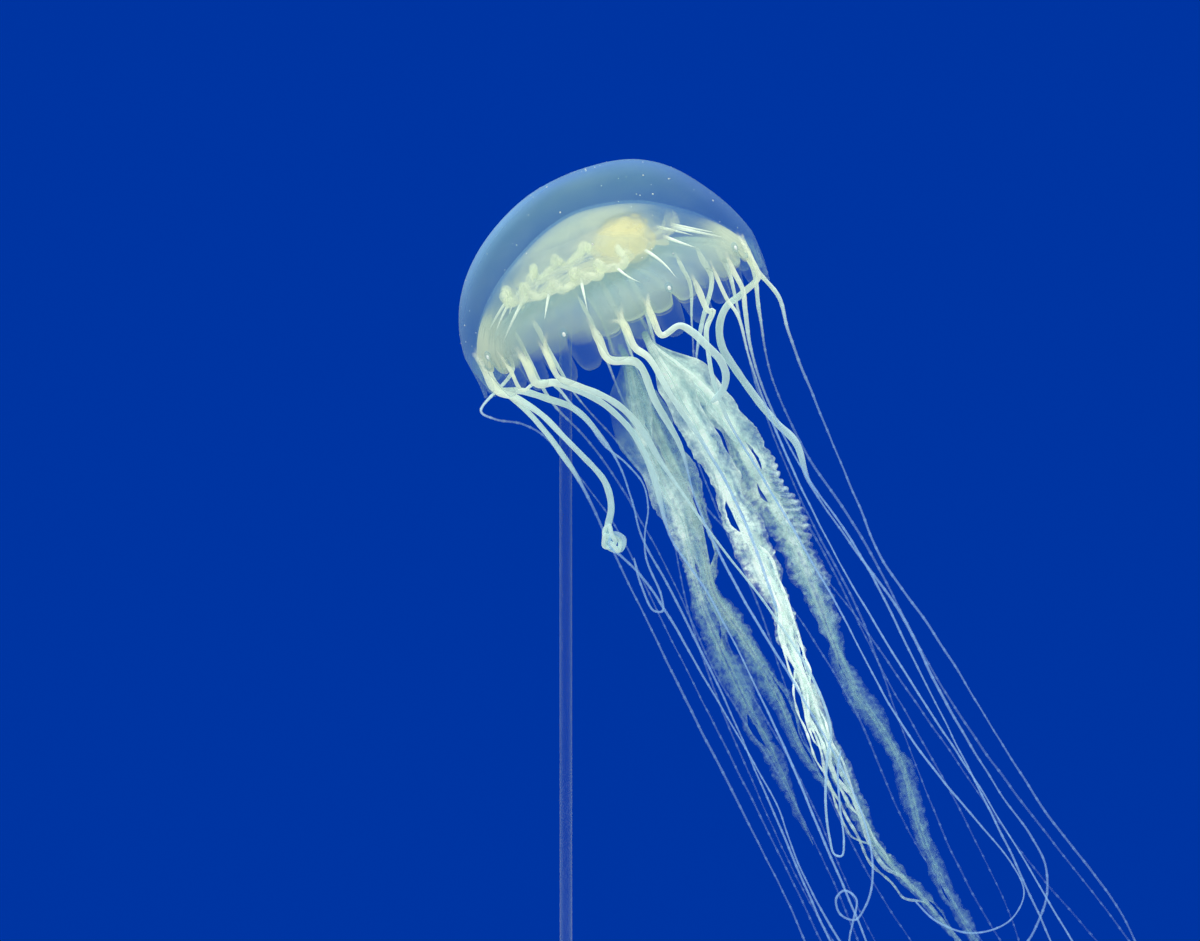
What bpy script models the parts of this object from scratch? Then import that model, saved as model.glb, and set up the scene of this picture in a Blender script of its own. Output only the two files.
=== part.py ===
"""A still, life-size model of an Atlantic bay nettle, a white jellyfish, on a plain display stand.

Metres, +Z up, with the origin in the middle of the stand base's underside. The bell tips towards
-X and a little towards -Y. Its four mouth arms and 24 tentacles trail away towards +X and down.
"""

import math
from collections import namedtuple

import bmesh
import bpy
from mathutils import Matrix, Vector

MM = 0.001
GAP = 0.3 * MM  # kept between neighbouring pieces

# The bell, measured from the level of its lappets' tips, in the bell's own upright position.
BELL_RADIUS = 50.0 * MM
BELL_HEIGHT = 49.5 * MM
BELL_FULLNESS = 2.15  # 2 is an ellipse, and more is squarer at the shoulder
BELL_SIDEWAYS = 2.2 * MM  # how far the crown has drifted towards +X
FLANKS_SIDEWAYS = 0.6 * BELL_SIDEWAYS  # how far the flanks have drifted towards -X
RIM_HEIGHT = 9.3 * MM  # where the clear jelly ends and the lappets begin
HOLLOW_RADIUS = 48.0 * MM
HOLLOW_HEIGHT = 38.0 * MM
HOLLOW_UPRIGHT = 1.8  # these two shape the hollow: 2 and 0.5 would make it an ellipse
HOLLOW_ROUND = 0.6
DOME_ROWS = 8
BELL_SLOTS = 32  # clefts round the rim: every fourth holds a sense organ, the rest a tentacle
FIRST_SENSE_ORGAN = math.radians(-19.0)  # from -Y towards +X

LAPPET_TIP = -1.6 * MM
LAPPET_CLEFT = 4.6 * MM
LAPPET_THICKNESS = 1.4 * MM
LAPPET_STEPS = 3
LAPPET_UNEVEN = 0.5 * MM

STOMACH_RADIUS = 38.5 * MM
STOMACH_LOBE_DEPTH = 3.6 * MM
STOMACH_RIM_THICKNESS = 1.5 * MM
STOMACH_DEEP_SHARE = 0.8  # of its radius, within which it hangs down to the swimming muscle
# The swimming muscle's height in the middle, how far it drops to the rim, and how late it does.
MUSCLE_HEIGHT = 19.5 * MM
MUSCLE_DROP = 17.5 * MM
MUSCLE_CURVE = 3.5
STOMACH_ROWS = 4

STEM_TOP = 18.8 * MM
STEM_END = -9.0 * MM
STEM_RADIUS = 8.2 * MM
STEM_WAIST = 0.22  # how much narrower it is halfway down
STEM_CORNERS = 0.12  # how far its four corners stand out at the mouth
STEM_SIDES = 16
STEM_ROWS = 6

# Where the bell hangs, how it tips, and which way everything behind it streams.
MARGIN_CENTRE = Vector((-38.0, 0.0, 272.0)) * MM
BELL_TIP_TO_SIDE = math.radians(23.6)
BELL_TIP_FORWARD = math.radians(5.8)
STREAM_FROM_VERTICAL = math.radians(28.0)
STREAM_BOW = 6.0  # millimetres to and fro in depth, over the length below
STREAM_BOW_LENGTH = 330.0

TENTACLE_ROOT_RADIUS = 45.8 * MM  # from the bell's axis
TENTACLE_ROOT_END = -3.2 * MM  # the height at which it leaves the lappets
TENTACLE_FLARE = 0.45 * MM  # extra radius at the root
TENTACLE_FLARE_LENGTH = 5.0 * MM
TENTACLE_TAPER = 0.2  # how much thinner a thread is, 300 mm from the root
TENTACLE_TAPER_LENGTH = 300.0 * MM
THINNING_LENGTH = 24.0  # millimetres over which a contracted stretch thins to a thread
SETTLING_LENGTH = 46.0 * MM  # a tentacle drifts from its root's depth to its lane over this
TENTACLE_WAVE = 1.2  # millimetres to and fro in depth, over the length below
TENTACLE_WAVE_LENGTH = 78.0
TENTACLE_SMOOTHING = 0.50 * MM
TENTACLE_SIDES = 6

BASE_LENGTH = 200.0 * MM
BASE_WIDTH = 100.0 * MM
BASE_THICKNESS = 10.0 * MM
BASE_EDGE = 2.0 * MM
BASE_SEGMENTS = 32
ROD_RADIUS = 2.0 * MM
ROD_SIDES = 12
BELL_ROD_AT = Vector((-56.0, 12.0)) * MM
BELL_ROD_TOP = 285.5 * MM
TAIL_ROD_AT = Vector((78.0, -1.7)) * MM
TAIL_ROD_TOP = 65.7 * MM

CLEAR_JELLY = ((0.60, 0.76, 0.84), 0.12)
MILKY_JELLY = ((0.80, 0.86, 0.82), 0.30)
YELLOW_JELLY = ((0.88, 0.86, 0.58), 0.38)
ARM_JELLY = ((0.80, 0.91, 0.87), 0.34)
TENTACLE_JELLY = ((0.84, 0.91, 0.90), 0.30)
STAND_WHITE = ((0.78, 0.79, 0.79), 0.45)
STAND_CLEAR = ((0.86, 0.90, 0.92), 0.08)

# A tentacle's slot on the rim, its depth lane (millimetres, - is towards -Y), the radius and
# length of its contracted stretch, the radius beyond it, and the bends that it streams through:
# along the stream, across it, and where it crosses over itself a change of depth.
Tentacle = namedtuple("Tentacle", "slot lane thick thick_for thin bends")

TENTACLES = (
    # The front of the bell: one pair lies over the arms, and the short one hooks back.
    Tentacle(1, -33, 1.25, 60, 0.48, (
        (12, -1.5), (25, -2), (42, -2), (62, -6), (90, -7), (130, -5), (165, -5), (183, -9),
        (191, -13.5), (196, -18.5), (198, -23), (194, -26.3, -1), (189, -25, -2),
        (188, -21.5, -2.4), (192, -19.6, -2.7), (197.5, -23.8, -3.2), (203, -28, -3),
        (214, -31, -1.5), (240, -33))),
    Tentacle(2, -38, 1.20, 50, 0.60, (
        (12, 2.5), (26, 3), (40, 4.5), (60, 5.5), (84, 3.5), (102, 0.5))),
    Tentacle(3, -33, 1.25, 60, 0.95, (
        (8, 15.5), (12, 18.3), (18, 20), (24, 21.8), (29, 21), (33, 17.3), (34.5, 13))),
    # The right-hand side, one of which makes the wide turn back under the others.
    Tentacle(5, -24, 0.90, 55, 0.45, (
        (9, 27), (13, 22.5), (20, 19.5), (30, 16.5), (46, 15), (62, 16), (112, 18), (146, 18),
        (168, 20.5), (190, 25), (207, 28.5), (217, 27.5), (222, 21), (222.5, 13), (219, 5),
        (212, -1), (203, -4))),
    Tentacle(6, -19, 0.70, 25, 0.42, (
        (14, 33), (28, 30), (45, 27.5), (70, 25.5), (100, 25), (140, 27), (185, 31),
        (240, 34), (272, 36))),
    Tentacle(7, -14, 0.75, 30, 0.45, (
        (14, 36), (27, 31.5), (49, 28.5), (67, 28.5), (102, 32), (150, 31), (200, 30),
        (250, 27), (281, 25))),
    Tentacle(9, -9, 1.30, 92, 0.55, (
        (8.5, 43), (10, 37), (11, 31.5), (15, 27), (22, 24.3), (34, 25), (51, 28), (60, 30.6),
        (73, 28.5), (97, 31), (123, 34.5), (155, 34), (190, 36), (204, 38), (215, 37.5),
        (224, 33), (232, 24), (238, 12), (250, 2), (268, -3))),
    Tentacle(10, -2, 0.70, 30, 0.50, (
        (17, 47.5), (28, 45), (49, 42.5), (88, 39), (106, 37.5), (134, 41), (179, 44),
        (203, 46), (225, 50), (243, 52), (264, 50), (287, 43))),
    Tentacle(11, 5, 0.75, 30, 0.50, (
        (18, 40), (37, 34), (65, 32), (95, 35), (155, 35.5), (198, 41), (237, 48), (279, 54))),
    # The far side, behind the arms.
    Tentacle(13, 12, 0.70, 25, 0.42, (
        (20, 33), (45, 27), (80, 23.5), (120, 23), (165, 17), (210, 13), (255, 16), (279, 21))),
    Tentacle(14, 17, 0.80, 40, 0.42, (
        (14, 22), (24, 14.5), (36, 12.5), (60, 19), (95, 22), (140, 21), (190, 22), (232, 20),
        (256, 14))),
    Tentacle(15, 22, 0.70, 25, 0.42, (
        (15, 18), (40, 9), (80, 14), (118, 21), (165, 27), (212, 33), (262, 44))),
    Tentacle(17, 27, 0.70, 25, 0.40, (
        (20, 4), (60, -1), (105, -5), (150, -12), (200, -14), (245, -8), (268, 0))),
    Tentacle(18, 32, 0.80, 30, 0.42, (
        (20, -4), (60, -6), (100, 3), (145, 7), (195, 4), (240, 9), (274, 14))),
    Tentacle(19, 27, 0.70, 25, 0.40, (
        (20, -12), (60, -16), (100, -27), (150, -33), (200, -35), (244, -31))),
    Tentacle(21, 20, 0.80, 30, 0.42, (
        (15, -25), (40, -19), (80, -15), (118, -20), (160, -19), (205, -22), (248, -22))),
    Tentacle(22, 15, 0.70, 30, 0.42, (
        (12, -33), (35, -27), (75, -25), (118, -27), (165, -24), (215, -27), (252, -33))),
    Tentacle(23, 6, 0.55, 30, 0.42, (
        (5, -54), (9.5, -51), (15, -43.5), (21, -39.5), (36, -36), (58, -33), (90, -34),
        (135, -35), (180, -36), (228, -38))),
    # The left-hand side, where the roots bunch up, and one tentacle has knotted.
    Tentacle(25, 0, 0.95, 55, 0.52, (
        (7, -42), (17, -39), (38, -36), (62, -37), (119, -39), (153, -39.5), (190, -40.5),
        (215, -42), (246, -39))),
    Tentacle(26, -12, 1.10, 55, 0.48, (
        (5, -38), (11, -32), (17, -26.5), (28, -23), (39, -22), (50, -23.5), (63, -26.5),
        (80, -26.5), (120, -27.5), (165, -31), (212, -34), (243, -32))),
    Tentacle(27, -16, 1.20, 92, 0.50, (
        (5, -41), (13, -36.5), (22, -33.5), (31, -31), (42, -28.5), (50, -30.5), (56, -35),
        (60.5, -37, -0.4), (63, -34.3, -1.4), (60.5, -31.8, -2.4), (57.5, -33.8, -3.2),
        (60.5, -36.6, -3.6), (65, -35, -3.2), (73, -32.5, -1.5), (84, -31), (110, -30),
        (134, -29), (159, -28.5), (176, -31), (196, -31.5), (226, -29), (256, -27))),
    Tentacle(29, -21, 0.55, 30, 0.45, (
        (4, -37), (3.5, -33.5), (4.5, -29.5), (8, -27.3), (14, -26), (23, -24), (31, -23),
        (40, -19.5), (48, -18), (55, -20), (62, -25), (69, -28.2), (82, -29.5), (86.5, -31.5),
        (85, -34), (76, -33.6), (67, -31.5))),
    Tentacle(30, -25, 1.25, 78, 0.50, (
        (6, -27), (12, -21.5), (20, -16.5), (30, -13.5), (40, -13), (50, -14.5), (66, -18),
        (90, -16), (130, -17), (170, -20), (214, -24), (250, -28))),
    Tentacle(31, -28.5, 1.15, 62, 0.48, (
        (7, -23.5), (11, -20), (19, -14), (30, -10.5), (45, -9.5), (70, -6.5), (100, -1.5),
        (128, 0.5), (143, -2), (150, -7), (163, -14.5), (173, -18.3), (178, -19.3),
        (179.5, -17.5), (176, -14.8), (165, -10.4), (155, -6), (150, -2))),
)
ONE_LENGTH = (2, 3, 31)  # the slots of the tentacles short enough to be one piece
SPLIT_AT = 0.42  # of the length, on the others

# An arm's bends, as along, across, depth and half its width, in millimetres.
ARMS = {
    "left": (
        (11.2, -4.4, -3.3, 3.8), (22, -7.5, -4.6, 4.9), (34, -11, -5.5, 5.6), (50, -12.5, -6, 6.0),
        (65, -13.5, -6, 5.0), (88, -19, -6, 3.2), (104, -21, -5.6, 4.4), (121, -22, -5, 4.0),
        (146, -22.5, -4, 3.0), (176, -24.5, -3, 1.0)),
    "back": (
        (11.2, -4.4, 3.9, 3.8), (25, -6, 5.6, 5.0), (45, -7.5, 6.6, 6.0), (70, -9.5, 7, 5.0),
        (92, -15, 7, 3.6), (108, -13.5, 7, 4.2), (130, -12.3, 7, 3.6), (150, -13.5, 6.5, 2.4),
        (172, -10, 6, 0.9)),
    "front": (
        (11.2, 4.4, -3.3, 3.8), (25, 5, -5, 5.2), (42, 5.6, -6, 6.0), (73, 3.4, -7, 5.5),
        (98, 2.8, -7, 4.4), (118, -0.6, -7, 3.6), (141, -4, -6.5, 3.4), (166, -6, -6, 3.0),
        (187, -6.5, -5, 2.7), (209, -1, -4, 2.2), (236, 5, -3, 1.0)),
    "right": (
        (11.2, 4.4, 3.9, 3.8), (22, 9, 5, 5.5), (36, 13.5, 5.5, 6.5), (60, 15, 5, 7.0),
        (87, 15.5, 5, 5.8), (118, 12, 4.5, 4.0), (138, 10.5, 4, 3.6), (165, 12.5, 4, 3.3),
        (194, 7, 4, 2.9), (223, 6.5, 4, 2.3), (252, 11, 4, 1.0)),
}
ARM_RING_SPACING = 6.6 * MM
ARM_EDGE = 0.35 * MM  # half the thickness of an arm's frilled edge
ARM_LEAST = 0.8 * MM  # the least half width, at an arm's end
ARM_SPLIT_AT = 0.45
FRILL_LENGTH = 15.0 * MM
FRILL_DEPTH = 0.13  # of the half width
FRILL_SWING = 0.9 * MM  # how far a frilled edge waves out of the arm's plane
ARM_TWIST = math.radians(32.0)  # how far an arm turns to each side over the length below
ARM_TWIST_LENGTH = 140.0 * MM


def tilt():
    """The bell's turn from upright."""
    forward = Matrix.Rotation(BELL_TIP_FORWARD, 4, "X")
    return forward @ Matrix.Rotation(-BELL_TIP_TO_SIDE, 4, "Y")


def in_stream(along, across, depth):
    """A point given in millimetres along and across the stream behind the bell."""
    lean = STREAM_FROM_VERTICAL
    x = along * math.sin(lean) + across * math.cos(lean)
    z = across * math.sin(lean) - along * math.cos(lean)
    depth += STREAM_BOW * math.sin(math.tau * along / STREAM_BOW_LENGTH)
    return MARGIN_CENTRE + Vector((x, depth, z)) * MM


def on_bell(radius, angle, height):
    """A point round the upright bell, with the angle from -Y towards +X."""
    return Vector((radius * math.sin(angle), -radius * math.cos(angle), height))


def slot_angle(slot):
    return FIRST_SENSE_ORGAN + slot * math.tau / BELL_SLOTS


def outer_radius(height):
    share = max(0.0, 1.0 - (height / BELL_HEIGHT) ** BELL_FULLNESS)
    return BELL_RADIUS * share ** (1.0 / BELL_FULLNESS)


def hollow_radius(height):
    """The radius of the bell's hollow, which is narrower at the top than the bell itself."""
    share = max(0.0, 1.0 - (height / HOLLOW_HEIGHT) ** HOLLOW_UPRIGHT)
    return HOLLOW_RADIUS * share**HOLLOW_ROUND


def hollow_height(radius):
    share = 1.0 - (radius / HOLLOW_RADIUS) ** (1.0 / HOLLOW_ROUND)
    return HOLLOW_HEIGHT * share ** (1.0 / HOLLOW_UPRIGHT)


def sideways(height):
    """How far the living bell is off its axis at a height: crown to +X, flanks to -X."""
    up = max(0.0, height / BELL_HEIGHT)
    return BELL_SIDEWAYS * up**3 - FLANKS_SIDEWAYS * math.sin(math.pi * min(up, 1.0))


def material(name, look):
    colour, roughness = look
    made = bpy.data.materials.get(name)
    if made is None:
        made = bpy.data.materials.new(name)
        made.use_nodes = True
        shader = made.node_tree.nodes["Principled BSDF"]
        shader.inputs["Base Color"].default_value = (*colour, 1.0)
        shader.inputs["Roughness"].default_value = roughness
        shader.inputs["Metallic"].default_value = 0.0
    return made


def clear_scene():
    for obj in list(bpy.data.objects):
        bpy.data.objects.remove(obj)


def new_collection(name):
    made = bpy.data.collections.new(name)
    bpy.context.scene.collection.children.link(made)
    return made


def add(name, data, collection, look, parent=None):
    obj = bpy.data.objects.new(name, data)
    data.materials.append(material("mat_" + name, look))
    obj.parent = parent
    collection.objects.link(obj)
    return obj


def mesh_from(bm, name):
    """A bmesh as a smooth-shaded mesh whose faces point outwards."""
    bmesh.ops.remove_doubles(bm, verts=bm.verts, dist=0.01 * MM)
    bmesh.ops.recalc_face_normals(bm, faces=bm.faces)
    mesh = bpy.data.meshes.new(name)
    bm.to_mesh(mesh)
    bm.free()
    mesh.shade_smooth()
    mesh.set_sharp_from_angle(angle=math.radians(40))
    return mesh


def turned(profile, steps, name, reshape):
    """Turns a closed profile of (radius, height) about Z, then moves each point by reshape."""
    bm = bmesh.new()
    verts = [bm.verts.new(on_bell(r, slot_angle(0), z)) for r, z in profile]
    pairs = list(zip(verts, verts[1:] + verts[:1]))
    edges = [
        bm.edges.new(pair)
        for pair in pairs
        if max(pair[0].co.xy.length, pair[1].co.xy.length) > 0.0
    ]
    bmesh.ops.spin(
        bm,
        geom=verts + edges,
        cent=(0, 0, 0),
        axis=(0, 0, 1),
        angle=math.tau,
        steps=steps,
        use_merge=True,
    )
    bmesh.ops.remove_doubles(bm, verts=bm.verts, dist=0.01 * MM)
    for vert in bm.verts:
        angle = math.atan2(vert.co.x, -vert.co.y)
        vert.co = reshape(vert.co.copy(), angle)
    return mesh_from(bm, name)


def shifted_aside(point):
    return point + Vector((sideways(point.z), 0.0, 0.0))


def make_dome(collection, bell):
    """The clear jelly: thick over the crown, thinning to the rim, hollow beneath."""
    profile = []
    steepness = 2.0 / BELL_FULLNESS
    rim_turn = math.asin((RIM_HEIGHT / BELL_HEIGHT) ** (1.0 / steepness))
    for i in range(DOME_ROWS + 1):
        turn = math.pi / 2 + (rim_turn - math.pi / 2) * i / DOME_ROWS
        height = BELL_HEIGHT * math.sin(turn) ** steepness
        radius = 0.0 if i == 0 else outer_radius(height)
        profile.append((radius, height))
    hollow_turn = math.asin(RIM_HEIGHT / HOLLOW_HEIGHT)
    for i in range(DOME_ROWS + 1):
        turn = hollow_turn + (math.pi / 2 - hollow_turn) * i / DOME_ROWS
        height = HOLLOW_HEIGHT * math.sin(turn)
        radius = 0.0 if i == DOME_ROWS else hollow_radius(height)
        profile.append((radius, height))
    mesh = turned(profile, BELL_SLOTS, "bell_dome", lambda point, angle: shifted_aside(point))
    return add("bell_dome", mesh, collection, CLEAR_JELLY, bell)


def make_lappets(collection, bell):
    """The rim's 32 rounded flaps, joined in one ring, with a cleft between each two."""
    top = RIM_HEIGHT - GAP
    outer = outer_radius(top) - 0.05 * MM
    inner = outer - LAPPET_THICKNESS
    profile = [(outer, top), (outer, LAPPET_TIP), (inner, LAPPET_TIP), (inner, top)]

    def scallop(point, angle):
        place = (angle - FIRST_SENSE_ORGAN) / math.tau * BELL_SLOTS
        in_lappet = place - math.floor(place + 0.01)
        if point.z < top - GAP and (in_lappet < 0.1 or in_lappet > 0.9):
            point.z = LAPPET_CLEFT
        elif point.z < top - GAP:
            point.z += LAPPET_UNEVEN * math.sin(5.0 * angle)
        return shifted_aside(point)

    mesh = turned(profile, BELL_SLOTS * LAPPET_STEPS, "bell_lappets", scallop)
    return add("bell_lappets", mesh, collection, MILKY_JELLY, bell)


def make_stomach(collection, bell):
    """The stomach under the crown, deep in the middle, with 16 thin pouches round its edge."""
    profile = []
    for i in range(STOMACH_ROWS + 1):
        radius = STOMACH_RADIUS * i / STOMACH_ROWS
        profile.append((radius, hollow_height(radius) - 2.0 * GAP))
    for i in range(STOMACH_ROWS, -1, -1):
        radius = STOMACH_RADIUS * i / STOMACH_ROWS
        height = hollow_height(radius) - 2.0 * GAP - STOMACH_RIM_THICKNESS
        if radius < STOMACH_DEEP_SHARE * STOMACH_RADIUS:
            height = MUSCLE_HEIGHT - MUSCLE_DROP * (radius / HOLLOW_RADIUS) ** MUSCLE_CURVE
        profile.append((radius, height))

    def pouch(point, angle):
        radius = point.xy.length
        place = round((angle - FIRST_SENSE_ORGAN) / math.tau * BELL_SLOTS)
        if radius > 0.9 * STOMACH_RADIUS and place % 2:
            inward = STOMACH_LOBE_DEPTH / radius
            lower = hollow_height(radius)
            point = Vector((point.x * (1 - inward), point.y * (1 - inward), point.z))
            point.z += hollow_height(point.xy.length) - lower
        return shifted_aside(point)

    mesh = turned(profile, BELL_SLOTS, "stomach", pouch)
    return add("stomach", mesh, collection, YELLOW_JELLY, bell)


def make_stem(collection, bell):
    """The mouth stem: a four-cornered tube of flesh from the stomach down to the arms."""
    bm = bmesh.new()
    rings = []
    for i in range(STEM_ROWS + 1):
        down = i / STEM_ROWS
        height = STEM_TOP + (STEM_END - STEM_TOP) * down
        waist = 1.0 - STEM_WAIST * math.sin(math.pi * down)
        ring = []
        for k in range(STEM_SIDES):
            angle = math.tau * k / STEM_SIDES
            corner = 1.0 + STEM_CORNERS * down * math.cos(4 * angle + math.pi)
            point = on_bell(STEM_RADIUS * waist * corner, angle, height)
            point.x += sideways(height) * (1.0 - down)
            ring.append(bm.verts.new(point))
        rings.append(ring)
    skin_rings(bm, rings)
    return add("mouth_stem", mesh_from(bm, "mouth_stem"), collection, MILKY_JELLY, bell)


def skin_rings(bm, rings):
    """Joins rings of equal count with quads and closes both ends."""
    for first, second in zip(rings, rings[1:]):
        for k in range(len(first)):
            after = (k + 1) % len(first)
            bm.faces.new((first[k], first[after], second[after], second[k]))
    bm.faces.new(rings[0])
    bm.faces.new(tuple(reversed(rings[-1])))


def mix(one, two, low, high, t):
    share = (t - low) / (high - low)
    return one * (1.0 - share) + two * share


def between(corners, knots, t):
    """The point at t on the smooth stretch between the second and third of four corners."""
    a, b, c, d = corners
    k, m, n, o = knots
    first = mix(a, b, k, m, t)
    second = mix(b, c, m, n, t)
    third = mix(c, d, n, o, t)
    return mix(mix(first, second, k, n, t), mix(second, third, m, o, t), m, n, t)


def curve_through(points, spacing):
    """Points at an even spacing on a smooth curve through the given ones."""
    ends = [2 * points[0] - points[1]] + points + [2 * points[-1] - points[-2]]
    fine = []
    for corners in zip(ends, ends[1:], ends[2:], ends[3:]):
        knots = [0.0]
        for one, two in zip(corners, corners[1:]):
            knots.append(knots[-1] + (two - one).length ** 0.5)
        pieces = max(4, round((corners[2] - corners[1]).length / (0.5 * MM)))
        for i in range(pieces):
            t = knots[1] + (knots[2] - knots[1]) * i / pieces
            fine.append(between(corners, knots, t))
    fine.append(points[-1].copy())
    return evenly(fine, spacing)


def reaches(points):
    """The distance of each point along its line."""
    found = [0.0]
    for one, two in zip(points, points[1:]):
        found.append(found[-1] + (two - one).length)
    return found


def evenly(points, spacing):
    """The same line with its points moved to an even spacing."""
    reach = reaches(points)
    count = max(2, round(reach[-1] / spacing))
    made = []
    k = 0
    for i in range(count + 1):
        target = reach[-1] * i / count
        while k < len(points) - 2 and reach[k + 1] < target:
            k += 1
        share = (target - reach[k]) / max(reach[k + 1] - reach[k], 1e-9)
        made.append(points[k].lerp(points[k + 1], share))
    return made


def thinned(points, first, last, slack):
    """The indices between first and last that the line needs to stay within slack."""
    start = points[first]
    along = points[last] - start
    worst = 0.0
    at = first
    for i in range(first + 1, last):
        share = min(1.0, max(0.0, (points[i] - start).dot(along) / along.length_squared))
        off = (points[i] - start - along * share).length
        if off > worst:
            worst = off
            at = i
    if worst <= slack:
        return [last]
    return thinned(points, first, at, slack) + thinned(points, at, last, slack)


def smoothstep(share):
    share = min(1.0, max(0.0, share))
    return share * share * (3.0 - 2.0 * share)


def tentacle_line(tentacle):
    """A tentacle's middle line: down inside the lappets, then off through its bends."""
    angle = slot_angle(tentacle.slot)
    to_world = Matrix.Translation(MARGIN_CENTRE) @ tilt()
    root_top = RIM_HEIGHT - 2.0 * GAP
    points = []
    for height in (root_top, 0.45 * root_top, TENTACLE_ROOT_END):
        upright = on_bell(TENTACLE_ROOT_RADIUS, angle, height)
        points.append(to_world @ shifted_aside(upright))
    root_depth = points[-1].y
    lane = tentacle.lane * MM
    reach = 0.0
    for bend in tentacle.bends:
        wave = math.sin(math.tau * bend[0] / TENTACLE_WAVE_LENGTH + 2.0 * tentacle.slot)
        point = in_stream(bend[0], bend[1], TENTACLE_WAVE * wave)
        reach += (point.xz - points[-1].xz).length
        drift = smoothstep(reach / SETTLING_LENGTH)
        extra = bend[2] * MM if len(bend) > 2 else 0.0
        point.y = root_depth + (point.y + lane - root_depth) * drift + extra
        points.append(point)
    return curve_through(points, 1.0 * MM)


def tentacle_radius(tentacle, reach):
    """The radius at a distance from the root: a flared root, a thick stretch, then a thread."""
    past_middle = (reach / MM - tentacle.thick_for) / THINNING_LENGTH
    thinning = smoothstep(past_middle + 0.5)
    body = tentacle.thick + (tentacle.thin - tentacle.thick) * thinning
    taper = 1.0 - TENTACLE_TAPER * smoothstep(reach / TENTACLE_TAPER_LENGTH)
    return body * MM * taper + TENTACLE_FLARE * math.exp(-reach / TENTACLE_FLARE_LENGTH)


def tube(name, points, radii, sides, collection, look):
    """A closed tube through the points, made from a curve and kept as a mesh."""
    curve = bpy.data.curves.new(name, "CURVE")
    curve.dimensions = "3D"
    curve.bevel_depth = 1.0
    curve.bevel_resolution = (sides - 4) // 2
    curve.use_fill_caps = True
    curve.twist_mode = "MINIMUM"
    spline = curve.splines.new("POLY")
    spline.points.add(len(points) - 1)
    for spot, point, radius in zip(spline.points, points, radii):
        spot.co = (*point, 1.0)
        spot.radius = radius
    shape = bpy.data.objects.new(name + "_curve", curve)
    collection.objects.link(shape)
    bpy.context.view_layer.update()
    graph = bpy.context.evaluated_depsgraph_get()
    mesh = bpy.data.meshes.new_from_object(shape.evaluated_get(graph))
    bpy.data.objects.remove(shape)
    bm = bmesh.new()
    bm.from_mesh(mesh)
    bpy.data.meshes.remove(mesh)
    closed = mesh_from(bm, name)
    return add(name, closed, collection, look)


def make_tentacle(tentacle, collection):
    """One tentacle, as one tube or as an upper and a lower length."""
    line = tentacle_line(tentacle)
    reach = reaches(line)
    cuts = [0, len(line) - 1]
    names = ["tentacle_{:02d}".format(tentacle.slot)]
    if tentacle.slot not in ONE_LENGTH:
        cuts.insert(1, round(SPLIT_AT * (len(line) - 1)))
        names = [names[0] + "_upper", names[0] + "_lower"]
    for name, first, last in zip(names, cuts, cuts[1:]):
        kept = [first] + thinned(line, first, last, TENTACLE_SMOOTHING)
        points = [line[i].copy() for i in kept]
        radii = [tentacle_radius(tentacle, reach[i]) for i in kept]
        if first > 0:
            points[0] += (points[1] - points[0]).normalized() * 2.0 * GAP
        tube(name, points, radii, TENTACLE_SIDES, collection, TENTACLE_JELLY)


def arm_rings(bends):
    """The middle, half width, and reach of each ring down an arm."""
    shown = []
    for along, across, depth, half_width in bends:
        middle = in_stream(along, across, depth)
        shown.append(Vector((*middle, half_width * MM)))
    line = curve_through(shown, ARM_RING_SPACING)
    middles = [spot.xyz for spot in line]
    return middles, [max(spot.w, ARM_LEAST) for spot in line], reaches(middles)


def arm_section(middle, down, half_width, reach):
    """Eight points round an arm: thick along the middle, thin at its two frilled edges."""
    twist = ARM_TWIST * math.sin(math.tau * reach / ARM_TWIST_LENGTH)
    aside = Matrix.Rotation(twist, 3, down) @ Vector((0.0, 1.0, 0.0)).cross(down).normalized()
    front = down.cross(aside).normalized()
    frill = math.tau * reach / FRILL_LENGTH
    left = half_width * (1.0 + FRILL_DEPTH * math.sin(frill))
    right = half_width * (1.0 + FRILL_DEPTH * math.sin(frill + 2.0))
    swing_left = FRILL_SWING * math.cos(0.83 * frill)
    swing_right = FRILL_SWING * math.cos(0.83 * frill + 2.4)
    thick = 0.32 * half_width + 0.5 * MM
    spots = (
        (-left, swing_left - ARM_EDGE),
        (-left, swing_left + ARM_EDGE),
        (-0.4 * left, thick),
        (0.4 * right, thick),
        (right, swing_right + ARM_EDGE),
        (right, swing_right - ARM_EDGE),
        (0.4 * right, -thick),
        (-0.4 * left, -thick),
    )
    return [middle + aside * x + front * y for x, y in spots]


def make_arm(name, bends, collection):
    """One mouth arm: a long frilled ribbon, in an upper and a lower length."""
    middles, half_widths, reach = arm_rings(bends)
    split = round(ARM_SPLIT_AT * (len(middles) - 1))
    for part, first, last in (("upper", 0, split), ("lower", split, len(middles) - 1)):
        bm = bmesh.new()
        rings = []
        for i in range(first, last + 1):
            down = middles[min(i + 1, len(middles) - 1)] - middles[max(i - 1, 0)]
            ring = arm_section(middles[i], down.normalized(), half_widths[i], reach[i])
            if first > 0 and i == first:
                ring = [point + down.normalized() * GAP for point in ring]
            rings.append([bm.verts.new(point) for point in ring])
        skin_rings(bm, rings)
        full_name = "arm_{}_{}".format(name, part)
        add(full_name, mesh_from(bm, full_name), collection, ARM_JELLY)


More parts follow.
